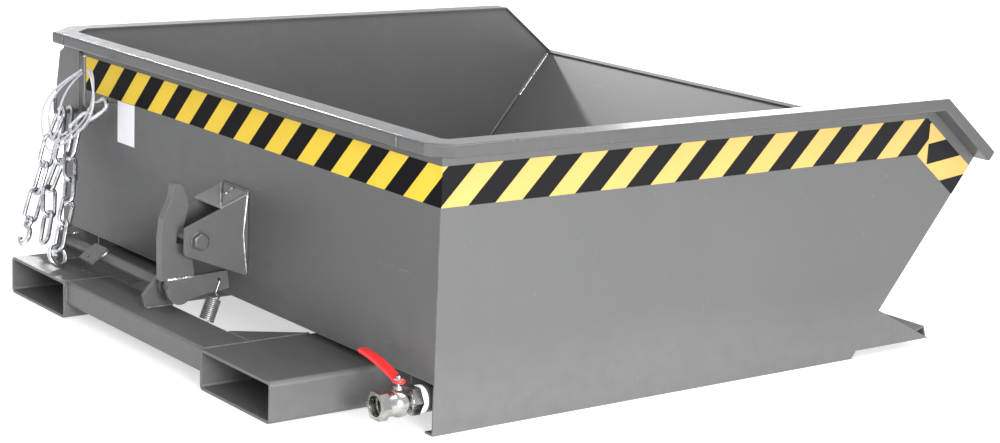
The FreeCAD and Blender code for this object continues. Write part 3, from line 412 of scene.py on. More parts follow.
def stripe_colour(runs, yellow, black):
    """Colour of striped tape: each run's stripes are given as (direction, pitch, shift)."""
    def build(tree, soil):
        masks = [add_group(tree, "Slanted Stripes", {"Direction": direction, "Pitch": pitch, "Shift": shift})
                 .outputs["Mask"] for direction, pitch, shift in runs]
        mask = masks[0]
        if len(masks) > 1:
            inputs = {0: object_place(tree), 1: TAPE_JOINT_FACING}
            side = add_node(tree, "VectorMath", inputs, operation="DOT_PRODUCT").outputs["Value"]
            beyond = calc(tree, "GREATER_THAN", side, float(np.dot(at(TAPE_JOINT), TAPE_JOINT_FACING)))
            mask = add_node(tree, "Mix", {0: beyond, 2: masks[0], 3: masks[1]}).outputs[0]
        flat = blended(tree, mask, black, yellow)
        return blended(tree, TAPE_SOIL, flat, soil.outputs["Colour"], way="MULTIPLY")
    return build


def seal_colour(paint):
    """Colour of the seal: white next to the valve, paint from the seal's edge on."""
    def build(tree, soil):
        ahead = add_node(tree, "SeparateXYZ", {0: object_place(tree)}).outputs[1]
        painted = calc(tree, "GREATER_THAN", ahead, float(at((0, SEAL_EDGE_Y, 0))[1]))
        return blended(tree, painted, soil.outputs["Colour"], paint)
    return build


# Settings

class HopperSizes(bpy.types.PropertyGroup):
    """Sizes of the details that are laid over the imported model."""

    edge_radius: FloatProperty(
        name="Edge radius", description="Rounding of the cut edges of plates", default=0.0009,
        min=0.0001, max=0.004, unit="LENGTH")
    fold_radius: FloatProperty(
        name="Fold radius", description="Outer radius of the rim's folds", default=0.0055,
        min=0.001, max=0.01, unit="LENGTH")
    weld_radius: FloatProperty(
        name="Weld radius", description="Half the width of a weld bead", default=0.0031,
        min=0.001, max=0.008, unit="LENGTH")
    stripe_pitch: FloatProperty(
        name="Stripe pitch", description="One yellow and one black stripe along the tape", default=0.121,
        min=0.02, max=0.4, unit="LENGTH")
    cable_diameter: FloatProperty(
        name="Cable diameter", description="Diameter of the coated release cable", default=0.005,
        min=0.002, max=0.01, unit="LENGTH")
    grip_thickness: FloatProperty(
        name="Grip thickness", description="Thickness of the valve lever's sleeve", default=0.009,
        min=0.004, max=0.012, unit="LENGTH")


class HopperColours(bpy.types.PropertyGroup):
    """Colours of the finishes."""

    paint: FloatVectorProperty(
        name="Paint", description="Grey satin paint of all steel sheet and tube", subtype="COLOR",
        size=4, min=0, max=1, default=(0.082, 0.082, 0.0823, 1))
    dust: FloatVectorProperty(
        name="Dust", description="Pale dust low on the sheets", subtype="COLOR",
        size=4, min=0, max=1, default=(0.13, 0.13, 0.128, 1))
    yellow: FloatVectorProperty(
        name="Tape yellow", description="Light stripes of the tape", subtype="COLOR",
        size=4, min=0, max=1, default=(0.66, 0.46, 0.050, 1))
    black: FloatVectorProperty(
        name="Tape black", description="Dark stripes of the tape", subtype="COLOR",
        size=4, min=0, max=1, default=(0.005, 0.005, 0.006, 1))
    red: FloatVectorProperty(
        name="Lever red", description="Sleeve of the valve lever", subtype="COLOR",
        size=4, min=0, max=1, default=(0.80, 0.018, 0.02, 1))
    cable: FloatVectorProperty(
        name="Cable coat", description="Coat of the release cable", subtype="COLOR",
        size=4, min=0, max=1, default=(0.44, 0.43, 0.47, 1))


# Finishes

def toned(colour, share):
    """A colour made darker or lighter by a share."""
    return (*(share * part for part in colour[:3]), 1)


def add_paints(paint, dust):
    """Grey paint on sheet, rims, the back wall, the frame, the keeper's bridge and welds; the rims and back
    wall wear a darker copy as painted shade, the keeper's bridge a lighter copy as painted light from above.
    """
    film = {"Colour": paint, "Dust Colour": dust, "Dust": 0.5, "Dust Height": 0.10,
            "Edge Size": 0.0022, "Edge Wear And Highlight": 0.55, "Gloss": 0.26}
    # A darker copy of the paint: painted shade on the rims and the back wall.
    shaded = {**film, "Colour": toned(paint, 0.86)}
    rim = {**shaded, "Gloss": 0.06, "Edge Wear And Highlight": 0.3}
    wall = {**shaded, "Dust": 0.35, "Dust Height": 0.22}
    # A much lighter copy of the paint: painted light falling on the keeper's bridge from above.
    pale = {**film, "Colour": toned(paint, 2.6)}
    add_finish("Grey paint", "Paint Film", film, bump=0.00015)
    add_finish("Rim paint", "Paint Film", rim, bump=0.00015, Specular_IOR_Level=0.32)
    add_finish("Wall paint", "Paint Film", wall, bump=0.0002, Specular_IOR_Level=0.36)
    # The frame's edges are lightened most: a painted highlight along the pockets' top edges, with some wear.
    add_finish("Frame paint", "Paint Film", {**film, "Edge Wear And Highlight": 1.0, "Dust Height": 0.05})
    add_finish("Paint lit from above", "Paint Film", pale)
    add_finish("Welded paint", "Paint Film", {**film, "Gloss": 0.16, "Edge Wear And Highlight": 0.9}, bump=0.0009)


def add_metals():
    """Zinc plate, new and aged, bare weld metal, the valve's nickel and the spring's drawn wire."""
    # The bright zinc's dark dull colour is partly dull patches of the zinc and partly painted dark
    # reflections, giving the chain its contrast.
    bright = {"Colour": (0.84, 0.84, 0.86, 1), "Dull Colour": (0.30, 0.31, 0.33, 1),
              "Crystal": 160.0, "Scratch": 0.5, "Gloss": 0.14}
    aged = {**bright, "Colour": (0.26, 0.26, 0.27, 1), "Dull Colour": (0.16, 0.16, 0.165, 1), "Gloss": 0.3}
    weld = {**bright, "Crystal": 500.0, "Gloss": 0.2}
    nickel = {**bright, "Colour": (0.50, 0.49, 0.46, 1), "Dull Colour": (0.25, 0.25, 0.24, 1),
              "Crystal": 60.0, "Gloss": 0.08}
    wire = {**bright, "Colour": (0.52, 0.52, 0.53, 1), "Dull Colour": (0.30, 0.30, 0.31, 1), "Gloss": 0.24}
    for name, values in (("Zinc", bright), ("Aged zinc", aged), ("Nickel", nickel), ("Spring steel", wire)):
        add_finish(name, "Metal Grain", values, Metallic=1.0)
    add_finish("Bare weld", "Metal Grain", weld, bump=0.0008, Metallic=1.0)


CLEAN = {"Colour": (1, 1, 1, 1), "Soil Colour": (0.5, 0.48, 0.45, 1), "Amount": 0.35, "Gloss": 0.28}


def add_tapes(pitch, yellow, black):
    """Striped tapes: those of the sides wear a paler yellow, a painted sheen, with a second run down the
    sloped rim.
    """
    slope = math.atan2(LIP_DROP, LIP_RUN)
    sloped = (0.0, math.cos(slope) - math.sin(slope), -math.sin(slope) - math.cos(slope))
    # The side tapes' yellow is a lit copy of the tape's yellow, less saturated: a painted sheen of the light
    # on the sides.
    lit = (0.74 * yellow[0], 0.70 * yellow[1], 0.10, 1)
    runs = {"Back tape": [((1.0, 0.0, -1.0), pitch, 0.29)],
            "Near tape": [((0.0, 1.0, -1.0), pitch, 0.36), (sloped, pitch, 0.77)],
            "Far tape": [((0.0, -1.0, -1.0), pitch, 0.0), (sloped, pitch, 0.0)]}
    for name, found in runs.items():
        back = name == "Back tape"
        stripes = stripe_colour(found, yellow if back else lit, black)
        shine = 0.02 if back else 0.16
        add_finish(name, "Light Soil", CLEAN, bump=0.0003, colour=stripes, Specular_IOR_Level=shine)


def add_plastics(paint, red, cable):
    """The lever's sleeve, the label, the seal and the cable's coat."""
    sleeve = {**CLEAN, "Colour": red, "Soil Colour": (0.35, 0.01, 0.01, 1), "Gloss": 0.22}
    label = {**CLEAN, "Colour": (0.70, 0.69, 0.73, 1), "Amount": 0.25}
    seal = {**CLEAN, "Colour": (0.86, 0.86, 0.84, 1), "Amount": 0.3}
    coat = {**CLEAN, "Colour": cable, "Amount": 0.5, "Gloss": 0.2}
    add_finish("Lever red", "Light Soil", sleeve, Coat_Weight=0.3)
    add_finish("Label white", "Light Soil", label)
    add_finish("Seal white", "Light Soil", seal, colour=seal_colour(paint))
    add_finish("Cable coat", "Light Soil", coat, Coat_Weight=0.4)


class MakeFinishes(bpy.types.Operator):
    """Build the shared node groups and every material"""

    bl_idname = "hopper.finishes"
    bl_label = "Finishes"

    def execute(self, context):
        sizes, colours = context.scene.hopper_sizes, context.scene.hopper_colours
        for build in (build_paint_group, build_metal_group, build_stripe_group, build_soil_group):
            build()
        add_paints(colours.paint, colours.dust)
        add_metals()
        add_tapes(sizes.stripe_pitch, colours.yellow, colours.black)
        add_plastics(colours.paint, colours.red, colours.cable)
        return {"FINISHED"}


def both(*stems):
    return [stem + side for stem in stems for side in ("_right", "_left")]


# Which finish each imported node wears; only plates and tubes have their cut edges rounded
PLATES = {
    "Grey paint": both("side_panel", "pivot_lug") + [
        "floor_sheet", "front_wall", "lip_strip", "nose_apron", "nose_plate", "nose_angle", "side_ribs",
        "cross_rib", "keeper_plate_near", "keeper_plate_far", "hanger_plate", "cable_cleat", "drain_pipe"],
    "Wall paint": ["back_wall"],
    # The keeper's bridge wears the paint lightened as painted light from above.
    "Paint lit from above": ["keeper_bridge"],
    "Frame paint": both("fork_pocket", "corner_gusset", "pivot_clevis", "latch_bearing") + [
        "rear_crossbar", "front_beam", "spring_anchor", "latch_shaft", "shaft_collars", "latch_arm",
        "latch_hook", "release_lug"],
    "Zinc": ["pivot_pins", "drain_strainer"],
    "Aged zinc": ["keeper_washers"],
    "Nickel": ["valve_body", "valve_stem", "valve_ball"],
}
ROUND_WIRE = {
    "Zinc": ["chain_left", "chain_middle", "chain_right", "chain_hook", "chain_ring"],
    "Seal white": ["seal_ring"],
}
THIN = {
    "Near tape": ["side_tape_right"],
    "Far tape": ["side_tape_left"],
    "Back tape": ["back_tape"],
    "Label white": ["label_plate"],
}


class DressPlates(bpy.types.Operator):
    """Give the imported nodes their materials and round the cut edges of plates"""

    bl_idname = "hopper.dress_plates"
    bl_label = "Plates and tubes"

    def execute(self, context):
        radius = context.scene.hopper_sizes.edge_radius
        for table, rounding in ((PLATES, radius), (ROUND_WIRE, 0.0), (THIN, 0.0)):
            for material, names in table.items():
                for name in names:
                    self.dress(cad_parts[name], bpy.data.materials[material], rounding)
        return {"FINISHED"}

    def dress(self, node, material, rounding):
        """Merge the loose triangles, dissolve flat ones, then round edges past the angle limit."""
        node.data.materials.clear()
        node.data.materials.append(material)
        if not rounding:
            return
        weld = node.modifiers.new("Merge", "WELD")
        weld.merge_threshold = 2e-5
        flat = node.modifiers.new("Flats", "DECIMATE")
        flat.decimate_type = "DISSOLVE"
        flat.angle_limit = math.radians(0.6)
        bevel = node.modifiers.new("Edges", "BEVEL")
        bevel.width = rounding
        bevel.segments = 2
        bevel.limit_method = "ANGLE"
        bevel.angle_limit = math.radians(38)
        bevel.harden_normals = True


# Rims

RIM_END_GAP = 0.3
CUT_RADIUS = 0.8
INNER_FOLD = 1.6
FOLD_STEPS = 6


def rim_profile(fold):
    """The folded rim's section as (inward, down) pairs: top flange, skirt and return, one sheet thick."""
    inner = RIM_REACH - RIM_END_GAP
    lower = RIM_DEPTH - SHEET
    corners = [(0, 0), (RIM_WIDTH, 0), (RIM_WIDTH, SHEET), (SHEET, SHEET), (SHEET, lower),
               (inner, lower), (inner, RIM_DEPTH), (0, RIM_DEPTH)]
    radii = [fold, CUT_RADIUS, CUT_RADIUS, INNER_FOLD, INNER_FOLD, CUT_RADIUS, CUT_RADIUS, fold]
    return rounded(corners, radii, FOLD_STEPS)


def mitre(first, second):
    """The vector whose part along each of two unit vectors is 1, so that offsets meet on it."""
    return (first + second) / (1 + first @ second)


def side_rim_rings(fold, chamfer):
    """The rim's section carried round the back corner, along the side and down to the lip."""
    outer = RIM_OUTER_X
    line = np.array([(RIM_SEAM_X, -RIM_REACH, RIM_TOP_Z), (outer - chamfer, -RIM_REACH, RIM_TOP_Z),
                     (outer, chamfer - RIM_REACH, RIM_TOP_Z), (outer, RIM_BEND_Y, RIM_TOP_Z),
                     (outer, LIP_Y, LIP_Z)])
    half = math.sqrt(0.5)
    slant = np.array([-half, half, 0])
    back, side, down = np.array([0, 1.0, 0]), np.array([-1.0, 0, 0]), np.array([0, 0, -1.0])
    run = line[4] - line[3]
    fall = unit(np.array([0, run[2], -run[1]]))
    inward = np.array([back, mitre(back, slant), mitre(slant, side), side, side])
    depth = np.array([down, down, down, mitre(down, fall), fall])
    profile = rim_profile(fold)
    return line[:, None] + profile[None, :, :1] * inward[:, None] + profile[None, :, 1:] * depth[:, None]


def back_rim_rings(fold):
    """The rim's section carried straight along the back from seam to seam."""
    profile = rim_profile(fold)
    line = np.array([(-RIM_SEAM_X, -RIM_REACH, RIM_TOP_Z), (RIM_SEAM_X, -RIM_REACH, RIM_TOP_Z)])
    section = np.stack([0 * profile[:, 0], profile[:, 0], -profile[:, 1]], -1)
    return line[:, None] + section[None]


class MakeRims(bpy.types.Operator):
    """Folded rims of both sides and the back, their section carried along the edge"""

    bl_idname = "hopper.rims"
    bl_label = "Rims"

    def execute(self, context):
        fold = context.scene.hopper_sizes.fold_radius / MM
        rims = {"side_rim_right": side_rim_rings(fold, RIM_CHAMFER),
                "side_rim_left": side_rim_rings(fold, RIM_FAR_CHAMFER) * (-1, 1, 1),
                "back_rim": back_rim_rings(fold)}
        for name, rings in rims.items():
            shape = skin(at(rings))
            rim = add_piece("folded_" + name, shape, "Rim paint", "container", [name], sharp=30)
            evened = rim.modifiers.new("Flats", "WEIGHTED_NORMAL")
            evened.keep_sharp = True
            evened.weight = 100
        return {"FINISHED"}


# Welds

BEAD_STEP = 1.6
BEAD_AROUND = 9
BEAD_SWELLS = 24
BEAD_JITTER = 0.12
RIPPLE_LENGTH = 3.4
RIPPLE_SHARE = 0.09
SWELL_SHARE = 0.06
TAPER_SHARE = 1.5
TIP_SHARE = 0.25
FIRST_SEED = 7


def bead(points, radius, seed):
    """A weld bead: a tube along a line whose radius swells with each ripple and fades at both ends."""
    rng = np.random.default_rng(seed)
    path, along = spaced(points, BEAD_STEP)
    swells = np.linspace(0, along[-1], BEAD_SWELLS)
    wander = np.interp(along, swells, rng.normal(0, 1, BEAD_SWELLS))
    ripple = 1 + RIPPLE_SHARE * np.sin(along * TURN / RIPPLE_LENGTH + wander) + SWELL_SHARE * wander
    ends = np.clip(np.minimum(along, along[-1] - along) / (TAPER_SHARE * radius), 0, 1)
    radii = radius * ripple * (TIP_SHARE + (1 - TIP_SHARE) * np.sqrt(ends * (2 - ends)))
    path = path + rng.normal(0, BEAD_JITTER, path.shape)
    return skin(at(swept(path, radii, BEAD_AROUND)))


def ring_line(centre, radius, axis, turns=40):
    """A closed circle of points about a centre, in the plane square to an axis of the frame."""
    angle = np.linspace(0, TURN, turns)
    plane = [k for k in range(3) if k != axis]
    points = np.tile(np.array(centre, float), (turns, 1))
    points[:, plane[0]] += radius * np.cos(angle)
    points[:, plane[1]] += radius * np.sin(angle)
    return points


def add_welds(name, lines, radius, material, body):
    """All beads of one body that wear one finish, as one piece."""
    skins = [bead(points, radius * share, FIRST_SEED + index) for index, (points, share) in enumerate(lines)]
    add_piece(name, merged(skins), material, body)


# How far a bead's line stands off the face it runs on: inside the tub, under it, and on the frame
TUB_STAND = 1.2
STAND = 1.0
RIB_STITCHES = np.arange(60, 860, 160)
STITCH_LENGTH = 60
PEG_FOOT, CLEAT_FOOT, FOOT_RADIUS = (-672, -7, 365), (-485, -1.2, 411), 5
PIPE_HEAD, PIPE_HEAD_RADIUS = (VALVE_X, 106, FLOOR_UNDER_Z - STAND), 22
BRIDGE_SEAM_Z = 325
BRIDGE_END_SEAM = [(85.5, -62, 299), (85.5, -4, 322)]
HOOK_SEAM = [(22, -160, 150), (22, -100, 152.5)]
HANGER_CUT_X = -721


def side_lines(side):
    """The tub's seams on one side, as (points, share of radius): corners, rim, rib and pivot eye."""
    x = side * (WALL_INNER_X - TUB_STAND)
    wall_y = SHEET + TUB_STAND
    seam_x, seam_y = side * (RIM_SEAM_X + STAND), -RIM_REACH - 0.2
    rib_x = side * (node_corners("side_ribs")[1][0] + STAND)
    under = FLOOR_UNDER_Z - STAND
    lines = [([(x, SHEET + 1, FLOOR_Z + 1), (x, CORNER_Y, FLOOR_Z + 1)], 1.0),
             ([(x, CORNER_Y - 6, FLOOR_Z + 3), (x, LIP_Y - 14, LIP_Z - 6)], 1.15),
             ([(x, wall_y, FLOOR_Z), (x, wall_y, WALL_TOP_Z - 3)], 0.9),
             ([(seam_x, seam_y, RIM_TOP_Z - 23), (seam_x, seam_y, RIM_TOP_Z - 3)], 0.8)]
    for start in RIB_STITCHES:
        lines.append(([(rib_x, start, under), (rib_x, start + STITCH_LENGTH, under)], 1.0))
    eye_low, eye_high = node_corners("pivot_lug_right")
    for edge in (eye_low[0] - STAND, eye_high[0] + STAND):
        lines.append(([(side * edge, eye_low[1] + 2, under), (side * edge, eye_high[1] - 3, under)], 1.1))
    return lines


def container_lines():
    """Seams of the tub: both sides, the floor's ends, keeper, hanger, cleat and drain pipe."""
    inner = WALL_INNER_X - TUB_STAND
    wall_y = SHEET + TUB_STAND
    keeper_low, keeper_high = node_corners("keeper_plate_far")
    bridge_low, bridge_high = node_corners("keeper_bridge")
    hanger_low, hanger_high = node_corners("hanger_plate")
    keeper_x = keeper_low[0] - STAND
    hanger_x, hanger_z = hanger_high[0] + STAND, hanger_high[2] + 0.5
    return side_lines(-1) + side_lines(1) + [
        ([(-inner, wall_y, FLOOR_Z + 1), (inner, wall_y, FLOOR_Z + 1)], 0.9),
        ([(-inner, CORNER_Y - 1, FLOOR_Z + 1.5), (inner, CORNER_Y - 1, FLOOR_Z + 1.5)], 0.7),
        ([(keeper_x, -STAND, keeper_high[2]), (keeper_x, -STAND, keeper_low[2] + 4)], 1.0),
        ([(bridge_low[0], -STAND, BRIDGE_SEAM_Z), (bridge_high[0], -STAND, BRIDGE_SEAM_Z)], 1.0),
        (BRIDGE_END_SEAM, 0.7),
        ([(HANGER_CUT_X, -3, hanger_z), (hanger_high[0] - 2, -3, hanger_z)], 0.9),
        ([(hanger_x, -STAND, hanger_high[2] - 5), (hanger_x, -STAND, hanger_low[2] + 10)], 0.9),
        (ring_line(CLEAT_FOOT, FOOT_RADIUS, axis=1), 0.7),
        (ring_line(PEG_FOOT, FOOT_RADIUS, axis=1), 0.7),
        (ring_line(PIPE_HEAD, PIPE_HEAD_RADIUS, axis=2), 0.8),
    ]


def frame_lines():
    """Seams of the fork pocket frame, as (points, share of radius)."""
    pocket_low, pocket_high = node_corners("fork_pocket_right")
    bar_low, bar_high = node_corners("rear_crossbar")
    gusset_low, gusset_high = node_corners("corner_gusset_right")
    clevis_low, clevis_high = node_corners("pivot_clevis_right")
    top = pocket_high[2]
    tucked, foot = top - 1.4, top - 2
    bar_back, bar_front = bar_low[1] - STAND, bar_high[1] + 0.4
    beam_y = pocket_high[1] - STAND
    clevis_y = clevis_low[1]
    lines = []
    for side in (-1, 1):
        seam = side * (pocket_low[0] - 0.4)
        lines.append(([(seam, bar_back, bar_low[2] + 4), (seam, bar_back, foot)], 1.0))
        lines.append(([(seam, bar_low[1] + 1, tucked), (seam, gusset_high[1] - 2, tucked)], 0.8))
        lines.append(([(side * (gusset_low[0] + 3), bar_front, tucked),
                       (side * (gusset_high[0] - 2), bar_front, tucked)], 0.8))
        for edge in (pocket_low[0] - STAND, pocket_high[0] + STAND):
            lines.append(([(side * edge, beam_y, 2), (side * edge, beam_y, foot)], 1.0))
        for edge in (clevis_low[0] - STAND, clevis_high[0] + STAND):
            lines.append(([(side * edge, clevis_y, clevis_low[2] + 2), (side * edge, clevis_y, foot)], 1.0))
    for bearing, rear_trim in (("latch_bearing_right", 6), ("latch_bearing_left", 2)):
        low, high = node_corners(bearing)
        for x in (low[0] - STAND, high[0] + STAND):
            lines.append(([(x, low[1] + rear_trim, top + 0.5), (x, high[1] - 4, top + 0.5)], 1.0))
    return lines


def latch_lines():
    """Seams of the latch: arm and lug on the shaft, as (points, share of radius)."""
    shaft_high = node_corners("latch_shaft")[1]
    lug_low, lug_high = node_corners("release_lug")
    shaft_end, shaft_r = shaft_high[0] - 0.5, shaft_high[2] - SHAFT_Z
    lug_y, lug_z = SHAFT_Y - 6, SHAFT_Z + 10
    return [
        (ring_line((shaft_end, SHAFT_Y, SHAFT_Z), shaft_r + 0.9, axis=0), 0.9),
        ([(lug_low[0] + 1, lug_y, lug_z), (lug_high[0] - 2, lug_y, lug_z)], 0.9),
        (HOOK_SEAM, 0.9),
    ]


# Bright beads, left unpainted or laid over the paint
KEEPER_PLATE_SEAM = [(86, -3, 318), (86, -7, 280), (86, -11, 240), (86, -7, 200), (86, -2, 156)]
BRIDGE_SLOPE_SEAM = [(-17, -3, 324), (82, -60, 301.5)]
BRIDGE_CROSS_SEAM = [(35, -3, 324.5), (45, -30, 314.5)]
FAR_LIP_SEAM = [(-738.5, 1392, 416), (-738.5, 1330, 342), (-738.5, 1300, 306)]
ARM_SEAM = [(43, -158, 150.2), (43, -100, 152.6)]
LUG_SEAM = [(-273, -128, 136), (-273, -142, 128)]
BEARING_FOOT_SEAM = [(-34.5, -150, 81), (-34.5, -112, 81)]
BEARING_TOP_SEAM = [(-468, -114, 135.5), (-468, -96, 135.5)]
BRIGHT_SEAMS = {
    "container": [(KEEPER_PLATE_SEAM, 0.9), (BRIDGE_SLOPE_SEAM, 1.0), (BRIDGE_CROSS_SEAM, 1.1),
                  (FAR_LIP_SEAM, 1.2)],
    "latch": [(ARM_SEAM, 1.1), (LUG_SEAM, 1.2)],
    "frame": [(BEARING_FOOT_SEAM, 1.1), (BEARING_TOP_SEAM, 0.8)],
}


class MakeWelds(bpy.types.Operator):
    """Painted and bright weld beads along the seams of each body"""

    bl_idname = "hopper.welds"
    bl_label = "Weld beads"

    def execute(self, context):
        radius = context.scene.hopper_sizes.weld_radius / MM
        found = {"container": container_lines(), "frame": frame_lines(), "latch": latch_lines()}
        for body, lines in found.items():
            add_welds(body + "_welds", lines, radius, "Welded paint", body)
            add_welds(body + "_bright_welds", BRIGHT_SEAMS[body], radius, "Bare weld", body)
        return {"FINISHED"}


# Keeper bolt

BOLT_LOW, BOLT_HIGH = node_corners("keeper_bolt")
BOLT_PLACE = (0, (BOLT_LOW[1] + BOLT_HIGH[1]) / 2, (BOLT_LOW[2] + BOLT_HIGH[2]) / 2)
BOLT_ACROSS = BOLT_HIGH[2] - BOLT_LOW[2]
BOLT_R = 10.0
THREAD_ROOT = 9.2
THREAD_DEPTH = 0.8
THREAD_STEP = 0.9
THREAD_END = -22.0
HEAD_X = node_corners("keeper_washers")[1][0]
HEAD_CHAMFER = 2.5
HEAD_TOP_SHARE = 0.925
NUT_SEAT = 0.2
NUT_BORE_R = 10.3
NUT_CHAMFER = 2.4
NUT_END_SHARE = 0.93
CHAMFER_STEPS = 7
NO_LIMIT = 20


def bolt_rows():
    """The bolt as (place, limit) pairs: threaded tail, shank, underside of the head, chamfered top."""
    tail, top = BOLT_LOW[0], BOLT_HIGH[0]
    thread = [(x, THREAD_ROOT + THREAD_DEPTH * (k % 2))
              for k, x in enumerate(np.arange(tail + 1.5, THREAD_END, THREAD_STEP))]
    shank = [(THREAD_END + 1, BOLT_R), (HEAD_X, BOLT_R)]
    under = [(HEAD_X, 13.6), (HEAD_X + 0.6, 14.2), (HEAD_X + 0.8, NO_LIMIT)]
    head = chamfered(top - HEAD_CHAMFER, top, BOLT_ACROSS, HEAD_TOP_SHARE, steps=9)
    return [(tail, 7.6)] + thread + shank + under + head


def nut_rows():
    """The nut as (place, limit) pairs: chamfered outer end, flats, hollow seat and back through the bore."""
    low, high = node_corners("keeper_nut")
    end, seat = low[0], high[0] - NUT_SEAT
    outer = chamfered(end + NUT_CHAMFER, end, BOLT_ACROSS, NUT_END_SHARE, CHAMFER_STEPS)
    hollow = chamfered(seat, seat - NUT_CHAMFER, BOLT_ACROSS, NUT_END_SHARE, CHAMFER_STEPS)
    return outer[::-1] + hollow + [(seat, NUT_BORE_R), (end, NUT_BORE_R)]


class MakeKeeperBolt(bpy.types.Operator):
    """Hexagon bolt and nut through the keeper"""

    bl_idname = "hopper.keeper_bolt"
    bl_label = "Keeper bolt"

    def execute(self, context):
        bolt = skin(at(hexed(bolt_rows(), BOLT_ACROSS) + BOLT_PLACE))
        nut = skin(at(hexed(nut_rows(), BOLT_ACROSS) + BOLT_PLACE), True)
        add_piece("keeper_hex_bolt", bolt, "Aged zinc", "container", ["keeper_bolt"], sharp=28)
        add_piece("keeper_hex_nut", nut, "Aged zinc", "container", ["keeper_nut"], sharp=28)
        return {"FINISHED"}


# Return spring

SPRING_TOP = np.array([46.5, -40.0, 139.0])
SPRING_FOOT = np.array([46.5, -80.0, 33.5])
WIRE_R = 1.75
WIRE_STEP = 0.7
COIL_R = 14.5
COIL_PITCH = 3.9
COIL_TURNS = 12
COIL_LEAD = 39.0
COIL_EASE = 12.0
HOOK_R = 4.5
HOOK_TAIL = 16.0
SMOOTHING = 9
HOOK_STEPS, TAIL_STEPS, TURN_STEPS = 12, 8, 40


def smoothed(path):
    """The path's points averaged with their neighbours under a bell of weights."""
    kernel = np.hanning(SMOOTHING)[1:-1]
    kernel = kernel / kernel.sum()
    reach = len(kernel) // 2
    padded = np.pad(path, ((reach, reach), (0, 0)), mode="edge")
    return np.stack([np.convolve(padded[:, k], kernel, "valid") for k in range(3)], -1)


def spring_path():
    """Wire of the spring: hook, lead, coil of even pitch, lead and hook, eased into one line."""
    top, bottom = SPRING_TOP, SPRING_FOOT
    down = unit(bottom - top)
    across = np.array([1.0, 0, 0])
    side = np.cross(down, across)

    def ring(angle):
        return across * np.cos(angle) + side * np.sin(angle)

    arc = np.linspace(0, math.pi / 2, HOOK_STEPS)[:, None]
    rise = HOOK_R * (1 - np.cos(arc))
    u = np.linspace(0, 1, TURN_STEPS)[:, None]
    grown = COIL_R * u * u * (3 - 2 * u)
    angle = np.linspace(0, TURN * COIL_TURNS, TURN_STEPS * COIL_TURNS + 1)[1:, None]
    far = COIL_LEAD + COIL_PITCH * COIL_TURNS
    start = np.linspace(top - across * HOOK_TAIL, top - across * HOOK_R, TAIL_STEPS)[:-1]
    first = top + across * (HOOK_R * np.sin(arc) - HOOK_R) + down * rise
    grow = top + down * (COIL_LEAD - COIL_EASE * (1 - u)) + ring(-math.pi * (1 - u) ** 1.5) * grown
    coils = top + down * (COIL_LEAD + COIL_PITCH * angle / TURN) + ring(angle) * COIL_R
    fade = top + down * (far + COIL_EASE * u) + ring(math.pi * u ** 1.5) * grown[::-1]
    last = bottom + across * (HOOK_R * np.sin(arc[::-1]) - HOOK_R) - down * rise[::-1]
    end = np.linspace(bottom - across * HOOK_R, bottom - across * HOOK_TAIL, TAIL_STEPS)[1:]
    wire = np.concatenate([start, first, grow, coils, fade[1:], last, end])
    return smoothed(spaced(wire, WIRE_STEP)[0])


class MakeSpring(bpy.types.Operator):
    """Close wound return spring between the latch arm and its lug"""

    bl_idname = "hopper.spring"
    bl_label = "Return spring"

    def execute(self, context):
        wire = skin(at(swept(spring_path(), WIRE_R)))
        add_piece("coiled_spring", wire, "Spring steel", "frame", ["return_spring"], sharp=60)
        return {"FINISHED"}


# Release cable

HANK_TOP = np.array([-500.0, -68.0, 488.0])
HANK_FOOT = np.array([-616.0, -105.0, 282.0])
HANK_SHORTENING = 11.0
HANK_WAIST = 41.0
HANK_WIDTH = 112.0
HANK_NARROWING = 92.0
HANK_TURNS = 3
HANK_DRIFT = 5.8
HANK_STEP = TURN / 16
HANK_STEPS = 40
END_RUN = 12.0
END_NUDGE = 0.01

# A ferrule's (place along the cable, radius) pairs in metres: two barrels with a crimp between them
FERRULE = ((-0.001, 0.0022), (0, 0.0034), (0.004, 0.0036), (0.006, 0.0031), (0.008, 0.0036),
           (0.012, 0.0034), (0.0125, 0.0026))


def hank_place(angle):
    """A point of the hank: top + down half (1 - cos a) + across side sin a, drifting with each turn."""
    turn = angle / TURN
    down = unit(HANK_FOOT - HANK_TOP)
    half = np.linalg.norm(HANK_FOOT - HANK_TOP) / 2 - HANK_SHORTENING * turn
    bulge = HANK_WIDTH - HANK_NARROWING * (turn / HANK_TURNS) ** 2 - HANK_WAIST
    side = HANK_WAIST + bulge * np.sin(angle) ** 2
    spot = HANK_TOP + down * half * (1 - np.cos(angle))
    return spot + np.array([-1, 0, 0]) * side * np.sin(angle) + np.array([0, HANK_DRIFT, 0]) * turn


def hank_line():
    """The cable's control points: narrowing, shortening loops with a straight run at each end."""
    angles = (HANK_STEP + HANK_STEP * np.arange(HANK_STEPS + 1))[:, None]
    points = hank_place(angles)
    first = hank_place(angles[:1] - END_NUDGE) - points[:1]
    last = hank_place(angles[-1:] + END_NUDGE) - points[-1:]
    return np.concatenate([points[:1] + unit(first) * END_RUN, points, points[-1:] + unit(last) * END_RUN])


def ferrule(tip, next_point):
    """A crimped sleeve over a cable's end, its axis from the tip towards the next point."""
    along, radii = np.array(FERRULE).T
    return skin(swept(tip + unit(next_point - tip) * along[:, None], radii, around=16))


